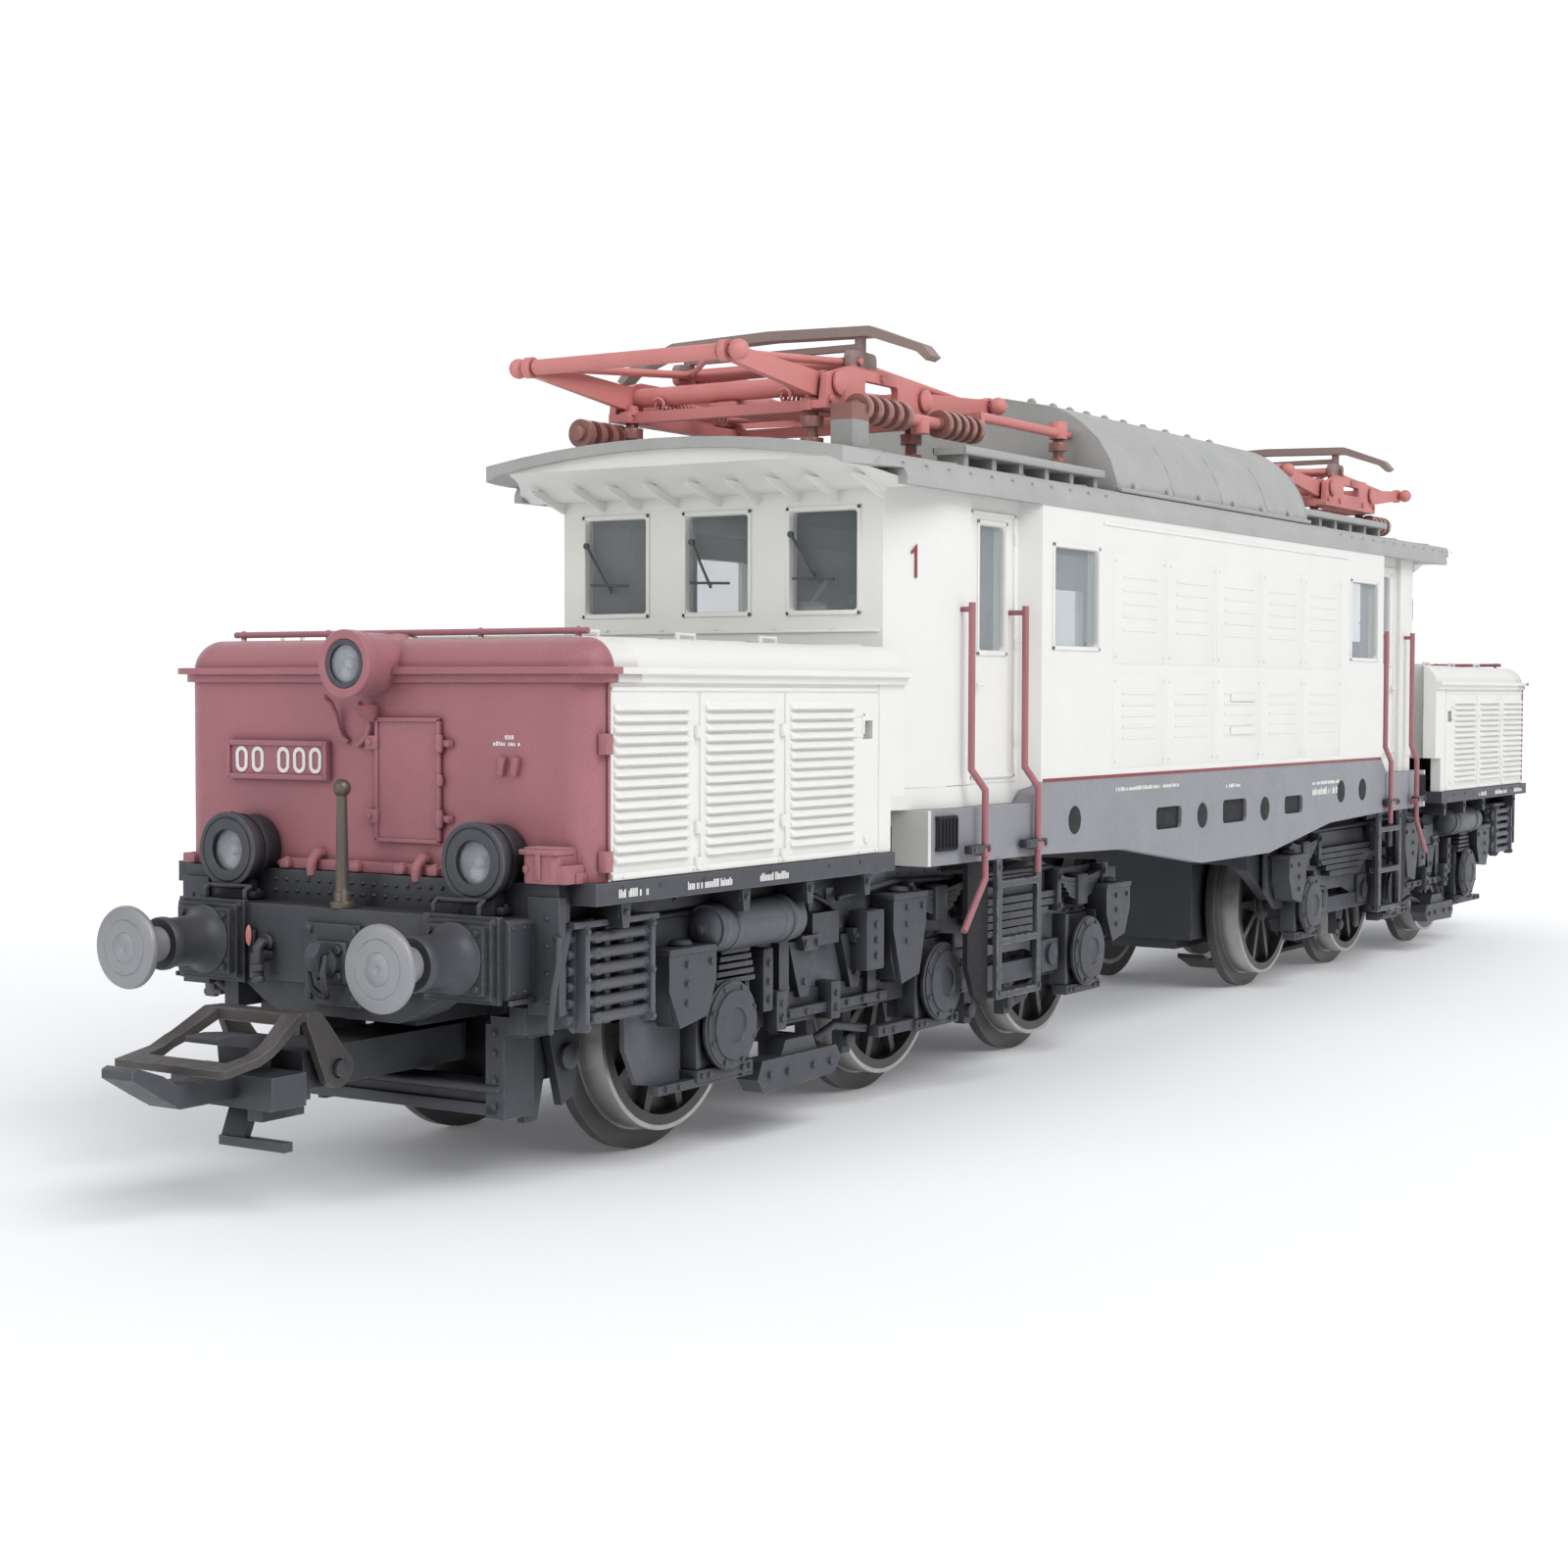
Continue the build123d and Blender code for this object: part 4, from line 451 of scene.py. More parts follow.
    def rivet(self, spot, axis, radius=0.13):
        return self.lathe([(radius, 0), (radius * 0.9, radius * 0.4), (radius * 0.5, radius * 0.75),
                           (0, radius * 0.85)],
                          spot, axis, 8)

    def both_sides(self):
        """Adds the mirror image across y = 0."""
        made = bmesh.ops.duplicate(self.bm, geom=self.bm.verts[:] + self.bm.edges[:] + self.bm.faces[:])["geom"]
        verts = [v for v in made if isinstance(v, bmesh.types.BMVert)]
        for v in verts:
            v.co.y = -v.co.y
        bmesh.ops.reverse_faces(self.bm, faces=[f for f in made if isinstance(f, bmesh.types.BMFace)])
        return self


SHARP_ANGLE = math.radians(38)


def emit(solid, name, body, slot, material=None, replaces=(), turn=None):
    """Makes the scene's piece of a solid, riding on its CAD body."""
    bm = solid.bm.copy()
    if turn is not None:
        bm.transform(turn)
    bmesh.ops.recalc_face_normals(bm, faces=bm.faces)
    mesh = bpy.data.meshes.new(name)
    bm.to_mesh(mesh)
    bm.free()
    mesh.materials.append(M[material or slot])
    mesh.shade_smooth()
    mesh.set_sharp_from_angle(angle=SHARP_ANGLE)
    piece = bpy.data.objects.new(name, mesh)
    bpy.context.scene.collection.objects.link(piece)
    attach(piece, body)
    if replaces:
        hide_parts(*replaces)
    return piece


def emit_ends(solid, name, body, slot, material=None, replaces=()):
    """The piece at the front end and, turned half round, at the rear end."""
    for end, turn in (("front", None), ("rear", HALF_TURN)):
        emit(solid, f"{end}_{name}", body.format(end=end), slot, material,
             [node.format(end=end) for node in replaces], turn)


def marks(solid, spot, along, up, out, length, height, seed, depth=0.03):
    """Unreadable lettering: a row of small bars of uneven width."""
    at, along, up, out = Vector(spot), Vector(along), Vector(up), Vector(out)
    place, state = 0.0, seed
    while place < length:
        state = (state * 1103515245 + 12345) % 2147483648
        width = 0.07 + 0.09 * (state / 2147483648)
        tall = height * (0.75 if state % 3 else 1.0)
        if state % 5:
            corner = at + along * place
            base = [corner, corner + along * width, corner + along * width + up * tall, corner + up * tall]
            solid.skin([base, [p + out * depth for p in base]])
        place += width + 0.07
    return solid


def ribbon(solid, points, width, spot, along, up, out, depth=0.04):
    """Flat stroke of a digit, drawn on the plane of along and up."""
    spot, along, up, out = Vector(spot), Vector(along), Vector(up), Vector(out)
    path = [Vector(p) for p in points]
    left, right = [], []
    for i, p in enumerate(path):
        before = (p - path[i - 1]).normalized() if i else (path[1] - p).normalized()
        after = (path[i + 1] - p).normalized() if i + 1 < len(path) else before
        heading = (before + after).normalized()
        normal = Vector((-heading.y, heading.x)) * (width / 2 / max(0.4, heading.dot(after)))
        left.append(p + normal)
        right.append(p - normal)
    rows = []
    for a, b in zip(left, right):
        flat = [spot + along * q.x + up * q.y for q in (a, b)]
        rows.append([flat[0], flat[1], flat[1] + out * depth, flat[0] + out * depth])
    return solid.skin(rows)


def zero(solid, spot, along, up, out, width, height, stroke):
    """The digit 0 as a closed round-cornered ribbon."""
    spot, along, up, out = Vector(spot), Vector(along), Vector(up), Vector(out)
    rows = []
    r_out = width / 2
    for i in range(24):
        turn = 2 * math.pi * i / 24
        lift = (height / 2 - r_out) * (1 if math.sin(turn) >= 0 else -1)
        section = []
        for r in (r_out, r_out - stroke):
            p = spot + along * (width / 2 + r * math.cos(turn)) + up * (height / 2 + lift + r * math.sin(turn))
            section.append(p)
        rows.append([section[0], section[1], section[1] + out * 0.05, section[0] + out * 0.05])
    return solid.skin(rows + [rows[0]], close_ends=False)


# ---------------------------------------------------------------- red nose and lamps
NOSE_X = -95.9
DOOR_Y, DOOR_Z = (-5.3, -0.4), (20.8, 28.1)
PLATE_Y, PLATE_Z = (3.7, 11.95), (24.45, 26.55)


def nose_fittings(s):
    for z in DOOR_Z:
        s.box((NOSE_X - 0.36, NOSE_X - 0.1), (DOOR_Y[0] - 0.12, DOOR_Y[1] + 0.12), (z - 0.12, z + 0.12))
    for y in DOOR_Y:
        s.box((NOSE_X - 0.36, NOSE_X - 0.1), (y - 0.12, y + 0.12), (DOOR_Z[0] - 0.1, DOOR_Z[1] + 0.1))
    for z in (26.7, 22.2):
        s.lathe([(0, -0.55), (0.2, -0.5), (0.24, -0.3), (0.24, 0.3), (0.2, 0.5), (0, 0.55)],
                (NOSE_X - 0.34, DOOR_Y[0] - 0.12, z), "z", 16)
        s.box((NOSE_X - 0.3, NOSE_X), (DOOR_Y[0] - 1.0, DOOR_Y[0] - 0.1), (z - 0.2, z + 0.2), 0.08)
        s.bolt((NOSE_X - 0.28, DOOR_Y[0] - 0.75, z), "-x", 0.17, 0.14)
        s.box((NOSE_X - 0.42, NOSE_X), (DOOR_Y[1] - 0.15, DOOR_Y[1] + 0.85), (z - 0.42, z + 0.42), 0.08)
        s.bolt((NOSE_X - 0.4, DOOR_Y[1] + 0.45, z), "-x", 0.2, 0.14)
    s.lathe([(0, -0.35), (0.18, -0.3), (0.22, 0), (0.18, 0.3), (0, 0.35)], (NOSE_X - 0.3, DOOR_Y[0] - 0.1, 24.5), "z",
            16)
    s.tube([(-97.4, 2.75, 29.5), (-96.8, 2.75, 29.1), (-96.4, 2.73, 28.4), (-96.25, 2.65, 27.6), (-96.2, 2.4, 27.0),
            (-96.1, 2.0, 26.7)], 0.17)
    s.tube([(-97.2, 0.0, 29.1), (-96.5, 0.02, 28.5), (-96.25, 0.1, 27.7), (-96.2, 0.4, 27.0), (-96.1, 1.2, 26.45)],
           0.16)
    s.prism("y", [(-98.0, 28.95), (-95.95, 28.95), (-95.95, 27.9), (-96.5, 28.0)], -0.35, 0.25, 0.08)
    for y in (-10.1, -11.1):
        s.prism("x", [(y - 0.3, 25.9), (y + 0.12, 25.95), (y + 0.28, 25.05), (y - 0.05, 24.85)], NOSE_X - 0.32,
                NOSE_X + 0.1,
                0.1)
    for y in (4.3, -4.2):
        s.tube([(-95.85, y, 19.75), (-96.35, y, 19.8), (-96.8, y, 19.45), (-96.95, y, 18.95), (-96.9, y, 18.5)], 0.3,
               12)
    for y in (6.7, 0.9, -2.7, -5.35, 12.9, 14.9):
        s.box((-96.9, -95.8), (y - 0.4, y + 0.4), (18.8, 19.35), 0.12)
        s.lathe([(0.24, 0), (0.22, 0.12), (0, 0.2)], (-96.55, y, 19.33), "z", 12)
    s.tube([(-96.0, -12.3, 19.05), (-96.0, 12.3, 19.05)], 0.2)
    s.tube([(-96.05, 15.3, 19.05), (-96.05, 12.9, 19.05)], 0.2)
    edge = 0.16
    for z in PLATE_Z:
        s.box((NOSE_X - 0.52, NOSE_X), (PLATE_Y[0], PLATE_Y[1]), (z - edge, z + edge), 0.06)
    for y in PLATE_Y:
        s.box((NOSE_X - 0.52, NOSE_X), (y - edge, y + edge), (PLATE_Z[0] - edge, PLATE_Z[1] + edge), 0.06)
    s.box((-97.75, -95.9), (-15.4, -12.6), (20.45, 20.75), 0.1)
    s.box((-97.75, -96.2), (-14.2, -13.8), (19.0, 20.5), 0.08)
    s.bolt((-97.58, -13.1, 19.6), "-x", 0.2, 0.12)
    for side in (-1, 1):
        s.tube([(-94.45, side * 16.68, 19.0), (-94.45, side * 16.68, 30.3)], 0.1, 8)
    for y in (-13.6, -6.2, 6.2, 13.6):
        s.lathe([(0, -0.3), (0.2, -0.22), (0.28, 0), (0.2, 0.22), (0, 0.3)], (-93.3, y, 33.4), "y", 14)
    s.ring(1.5, 2.06, 0.14, (-98.5, 0, 31.45), "-x")
    s.ring(1.88, 2.02, 0.35, (-97.9, 0, 31.45), "x")
    s.prism("y", [(-96.6, 33.2), (-95.2, 33.35), (-93.4, 33.2), (-93.4, 32.9), (-96.6, 32.9)], -0.5, 0.5, 0.12)


def nose_lettering(s):
    glyph = 1.62
    for y in (11.35, 9.95, 7.75, 6.4, 5.05):
        zero(s, (NOSE_X - 0.36, y, 24.7), (0, -1, 0), (0, 0, 1), (-1, 0, 0), 1.02, glyph, 0.24)
    marks(s, (NOSE_X, -9.82, 27.0), (0, -1, 0), (0, 0, 1), (-1, 0, 0), 1.0, 0.26, 11)
    marks(s, (NOSE_X, -9.3, 26.62), (0, -1, 0), (0, 0, 1), (-1, 0, 0), 2.1, 0.26, 23)


LAMPS = ((-9.9, 19.9, 1.6, -98.0), (9.9, 19.9, 1.6, -98.0), (0.0, 31.45, 1.36, -98.25))


def lamp_glass(s):
    for y, z, r, x in LAMPS:
        full = math.radians(65)
        dome = [(r * math.sin(t) / math.sin(full), 0.36 * (math.cos(t) - math.cos(full)) / (1 - math.cos(full)))
                for t in (math.radians(6.5 * i) for i in range(10, -1, -1))]
        s.lathe([(r, -0.12)] + dome[:-1] + [(0, 0.36)], (x, y, z), "-x", 40)


def lamp_reflectors(s):
    for y, z, r, x in LAMPS:
        back = -97.22 if z < 25 else -97.62
        depth = back - x
        bowl = [(r - 0.02, depth - 0.02), (r - 0.02, 0.22), (r - 0.1, 0.2)]
        bowl += [(r * (1 - t) + 0.3 * t, 0.2 + (depth - 0.3) * math.sin(t * math.pi / 2))
                 for t in (0.2, 0.4, 0.6, 0.8, 1.0)]
        s.lathe(bowl, (x, y, z))


def lamp_bulbs(s):
    for y, z, r, x in LAMPS:
        s.lathe([(0, -0.08), (0.22, -0.02), (0.36, 0.16), (0.36, 0.4), (0.2, 0.6)], (x, y, z), "x", 20)


def headlamp_fittings(s):
    for y in (-9.9, 9.9):
        s.ring(1.28, 1.98, 0.16, (-98.42, y, 19.9), "-x")
        s.ring(2.05, 2.38, 0.12, (-98.46, y, 19.9), "-x")
        s.ring(2.1, 2.24, 0.3, (-97.4, y, 19.9), "x")
        s.box((-97.9, -96.6), (y - 1.7, y + 1.7), (16.85, 17.35), 0.12)
        for dy in (-1.45, 1.45):
            s.bolt((-97.3, y + dy, 17.33), "z", 0.17, 0.16)
        s.lathe([(0.2, 0), (0.24, 0.2), (0, 0.3)], (-98.05, y, 22.0), "z", 12)
    s.ring(1.16, 1.5, 0.2, (-98.4, 0, 31.45), "-x")


# ---------------------------------------------------------------- hood
PANELS = ((-94.0, -86.4), (-84.6, -76.8), (-74.9, -66.9))
HOOD_Y = -16.65


def louvre(s, x0, x1, top, pitch, depth, plane):
    """Pressed louvre: flush at its top, standing out at its lower lip, with round closed ends."""
    stations = [(0.0, 0.02), (0.12, 0.45), (0.3, 0.75), (0.6, 0.94), (1.0, 1.0)]
    places = [(x0 + 0.55 * t, d) for t, d in stations] + [(x1 - 0.55 * t, d) for t, d in reversed(stations)]
    rings = []
    for x, d in places:
        drop = pitch * 0.86
        rings.append([(x, plane + 0.05, top), (x, plane - 0.02 - 0.45 * depth * d, top - drop * 0.35),
                      (x, plane - 0.02 - 0.88 * depth * d, top - drop * 0.7),
                      (x, plane - 0.02 - depth * d, top - drop * 0.9),
                      (x, plane - 0.02 - 0.8 * depth * d, top - drop), (x, plane + 0.05, top - drop * 0.93)])
    s.skin(rings)


def hood_fittings(s):
    count, low, high = 15, 19.75, 29.25
    pitch = (high - low) / count
    for x0, x1 in PANELS:
        for i in range(count):
            louvre(s, x0, x1, high - i * pitch, pitch, 0.36, HOOD_Y)
    for x in (-85.15, -75.5):
        s.box((x - 0.14, x + 0.14), (HOOD_Y - 0.16, HOOD_Y + 0.1), (19.1, 29.75))
        for z in (27.4, 21.6, 19.4):
            s.lathe([(0, -0.42), (0.22, -0.36), (0.27, 0), (0.22, 0.36), (0, 0.42)], (x - 0.45, HOOD_Y - 0.12, z), "z",
                    14)
            s.box((x - 0.7, x), (HOOD_Y - 0.14, HOOD_Y + 0.1), (z - 0.22, z + 0.22), 0.08)
    s.box((-94.2, -63.8), (HOOD_Y - 0.14, HOOD_Y + 0.1), (18.86, 19.28), 0.06)
    s.box((-94.2, -63.8), (HOOD_Y - 0.1, HOOD_Y + 0.1), (29.85, 30.1), 0.05)
    s.tube([(-63.55, HOOD_Y - 0.02, 18.9), (-63.55, HOOD_Y - 0.02, 30.3)], 0.1, 8)
    s.box((-67.25, -65.55), (HOOD_Y - 0.08, HOOD_Y + 0.05), (28.2, 28.42), 0.04)
    s.box((-67.25, -65.55), (HOOD_Y - 0.08, HOOD_Y + 0.05), (26.78, 27.0), 0.04)
    s.box((-67.25, -67.0), (HOOD_Y - 0.08, HOOD_Y + 0.05), (26.8, 28.4), 0.04)
    s.box((-65.8, -65.55), (HOOD_Y - 0.08, HOOD_Y + 0.05), (26.8, 28.4), 0.04)
    for x in (-93.2, -86.0, -76.4, -66.5, -64.2):
        s.rivet((x, HOOD_Y - 0.14, 19.07), "-y", 0.12)
    s.lathe([(0.42, 0), (0.36, 0.16), (0, 0.22)], (-65.3, HOOD_Y, 19.95), "-y", 16)
    for x in (-90.4, -80.2, -70.6):
        s.tube([(x - 0.9, -12.1, 32.98), (x - 0.9, -12.1, 33.45), (x + 0.9, -12.1, 33.45), (x + 0.9, -12.1, 32.98)],
               0.13, 8)
    for x in (-88.3, -79.3, -77.5, -69.1):
        s.tube([(x, -9.6, 33.2), (x, 9.6, 33.2)], 0.12, 8)
    s.both_sides()
    profile = [(-16.55, 30.95), (-16.4, 31.8), (-15.9, 32.6), (-14.9, 33.0), (14.9, 33.0), (15.9, 32.6), (16.4, 31.8),
               (16.55, 30.95)]
    s.tube([(-63.4, y, z) for y, z in profile], 0.12, 8)


def strip_lettering(s):
    for side in (-1, 1):
        spans = ((-93.8, -90.6), (-86.8, -82.1), (-78.8, -75.6))
        if side > 0:
            spans = tuple((-a - 169.4, -b - 169.4)[::-1] for a, b in spans)
        for i, (x0, x1) in enumerate(spans):
            marks(s, (x0, side * 16.9, 17.85), (1, 0, 0), (0, 0, 1), (0, side, 0), x1 - x0, 0.5, 7 + 5 * i)


# ---------------------------------------------------------------- buffer beam
BEAM_X = -99.4
BUFFER_Y, BUFFER_Z = (-10.02, 10.02), 14.5


def buffer_sleeves(s):
    for y in BUFFER_Y:
        s.lathe([(2.1, 0), (2.1, 0.12), (1.95, 0.2), (1.66, 0.55), (1.52, 1.2), (1.5, 2.9), (1.56, 3.0), (1.62, 3.2),
                 (1.62, 3.55), (1.54, 3.7), (1.2, 3.74)], (BEAM_X - 1.0, y, BUFFER_Z), "-x", 40)


def buffer_heads(s):
    for y in BUFFER_Y:
        s.lathe([(1.06, 3.5), (1.06, 4.6), (1.3, 4.62), (1.34, 4.9), (1.12, 5.1), (1.12, 5.35), (1.5, 5.62), (2.2, 5.8),
                 (2.42, 5.9), (2.5, 6.02), (2.5, 6.2), (2.43, 6.34), (2.3, 6.4), (1.72, 6.43), (1.66, 6.38),
                 (1.6, 6.44),
                 (0.98, 6.47), (0.92, 6.42), (0.86, 6.47), (0.3, 6.5), (0.22, 6.44), (0, 6.44)],
                (BEAM_X - 1.0, y, BUFFER_Z), "-x", 48)


def beam_fittings(s):
    for y in BUFFER_Y:
        for dy in (-2.4, 2.4):
            for dz in (-2.2, 2.1):
                s.bolt((BEAM_X - 0.35, y + dy, BUFFER_Z + dz), "-x", 0.2, 0.2)
        for dy in (-1.75, 1.75):
            for dz in (-1.62, 1.55):
                s.bolt((BEAM_X - 1.03, y + dy, BUFFER_Z + dz), "-x", 0.2, 0.2)
    for y in (-1.8, 1.8):
        for z in (15.5, 11.5):
            s.bolt((BEAM_X - 0.28, y, z), "-x", 0.24, 0.2)
    s.box((BEAM_X - 0.55, BEAM_X), (-1.3, 1.3), (12.3, 14.9), 0.15)
    s.lathe([(0.95, 0), (0.95, 0.5), (0.7, 0.7), (0.45, 1.0), (0, 1.05)], (BEAM_X - 0.4, 0.1, 13.6), "-x", 18)
    for y in (-0.75, 0.9):
        s.bolt((BEAM_X - 0.5, y, 14.4), "-x", 0.3, 0.3)
        s.bolt((BEAM_X - 0.5, y, 12.8), "-x", 0.3, 0.3)
    s.tube([(BEAM_X - 1.5, 0.55, 14.1), (BEAM_X - 1.75, 0.6, 13.2), (BEAM_X - 1.5, 0.55, 12.2),
            (BEAM_X - 1.1, 0.3, 11.7),
            (BEAM_X - 1.1, -0.3, 11.7), (BEAM_X - 1.5, -0.55, 12.2), (BEAM_X - 1.75, -0.6, 13.2),
            (BEAM_X - 1.5, -0.55, 14.1)], 0.2)
    for y in (5.45, -5.45):
        s.tube([(BEAM_X + 0.1, y, 14.5), (BEAM_X - 0.7, y, 14.5), (BEAM_X - 1.0, y, 14.2), (BEAM_X - 1.05, y, 13.4),
                (BEAM_X - 0.95, y, 12.3)], 0.3, 12)
        s.lathe([(0.5, 0), (0.5, 0.25), (0.4, 0.35)], (BEAM_X, y, 14.5), "-x", 8)
        s.lathe([(0.42, 0), (0.45, 0.1), (0.45, 0.35), (0.38, 0.4)], (BEAM_X - 1.03, y, 13.2), "-z", 14)
        s.lathe([(0.34, 0), (0.42, 0.1), (0.42, 0.3), (0.3, 0.4)], (BEAM_X - 0.95, y, 12.5), "-z", 14)
    for y in (6.75, -6.75):
        s.box((BEAM_X - 0.3, BEAM_X), (y - 0.3, y + 0.3), (14.3, 15.2), 0.08)
    for i in range(17):
        y = -7.2 + i * 0.9
        s.rivet((-97.0, y, 18.15), "-x", 0.15)
        s.rivet((-97.0, y, 17.45), "-x", 0.15)
    for side in (-1, 1):
        for z in (12.0, 13.6, 15.2, 16.8):
            s.rivet((-97.2, side * 14.3, z), "-x", 0.16)
        for x in (-99.0, -98.0):
            s.rivet((x, side * 13.3, 12.6), OUTWARD[side], 0.14)
            s.rivet((x, side * 13.3, 16.3), OUTWARD[side], 0.14)
        s.box((-99.5, -97.2), (side * 13.25, side * 13.5), (11.9, 12.2), 0.05)
        s.tube([(-99.3, side * 11.0, 16.85), (-99.3, side * 11.0, 17.5), (-98.9, side * 11.0, 17.7),
                (-98.9, side * 7.6, 17.7), (-99.3, side * 7.6, 17.5), (-99.3, side * 7.6, 16.85)], 0.13, 8)


def beam_cocks(s):
    for y in (6.75, -6.75):
        s.lathe([(0, 0), (0.5, 0.02), (0.62, 0.1), (0.5, 0.2), (0, 0.24)], (BEAM_X - 0.34, y, 14.85), "-x", 24,
                (0.34, 1.05))


# ---------------------------------------------------------------- bogie side and underframe
def axle_cover(s, x):
    """Bolted cover of an axle box."""
    y, r = -14.55, 2.75
    s.lathe([(r + 0.12, 0), (r + 0.12, 0.2), (r, 0.28), (r, 0.4), (r - 0.5, 0.46), (r - 0.56, 0.62), (1.15, 0.7),
             (1.05, 0.58), (0, 0.56)], (x, y, AXLE_Z), "-y", 40)
    for i in range(8):
        turn = math.pi * (i + 0.5) / 4
        s.bolt((x + (r - 0.26) * math.cos(turn), y - 0.42, AXLE_Z + (r - 0.26) * math.sin(turn)), "-y", 0.16, 0.14)


def leaf_spring(s, x, z, half, leaves, y):
    """Stack of bowed leaves with a buckle and end links."""
    for i in range(leaves):
        reach = half * (1 - 0.12 * i)
        top = [(x + reach * t, z - 0.38 * i + 0.5 * t * t) for t in (-1, -0.6, -0.3, 0, 0.3, 0.6, 1)]
        bottom = [(px, pz - 0.3) for px, pz in reversed(top)]
        s.prism("y", top + bottom, y - 0.75, y + 0.7, 0.04, 1)
    s.box((x - 0.9, x + 0.9), (y - 1.0, y + 0.4), (z - 0.38 * leaves - 0.3, z + 0.35), 0.12)
    for end in (-1, 1):
        s.box((x + end * half - 0.35, x + end * half + 0.35), (y - 0.9, y + 0.3), (z - 2.4, z + 0.9), 0.1)
        s.bolt((x + end * half, y - 0.9, z + 0.35), "-y", 0.24, 0.2)
        s.bolt((x + end * half, y - 0.9, z - 2.0), "-y", 0.24, 0.2)


def sandbox(s, x0, x1, top):
    """Sandbox with a lid, a filler cap and bolts."""
    y = -15.2
    body = [(x0, top), (x1, top - 0.2), (x1, top - 2.1), (x1 - 1.0, 9.6), (x0 + 1.2, 9.1), (x0, top - 2.4)]
    s.prism("y", body, y, -13.4, 0.14)
    s.box((x0 - 0.1, x1 + 0.1), (y - 0.12, -13.2), (top - 0.25, top + 0.15), 0.08)
    s.lathe([(0.75, 0), (0.8, 0.2), (0.6, 0.42), (0, 0.5)], ((x0 + x1) / 2, -14.2, top + 0.1), "z", 20)
    for z in (top - 0.9, top - 2.1, top - 3.3):
        s.bolt((x0 + 1.9, y, z), "-y")
    s.bolt((x1 - 0.6, y, top - 0.9), "-y")


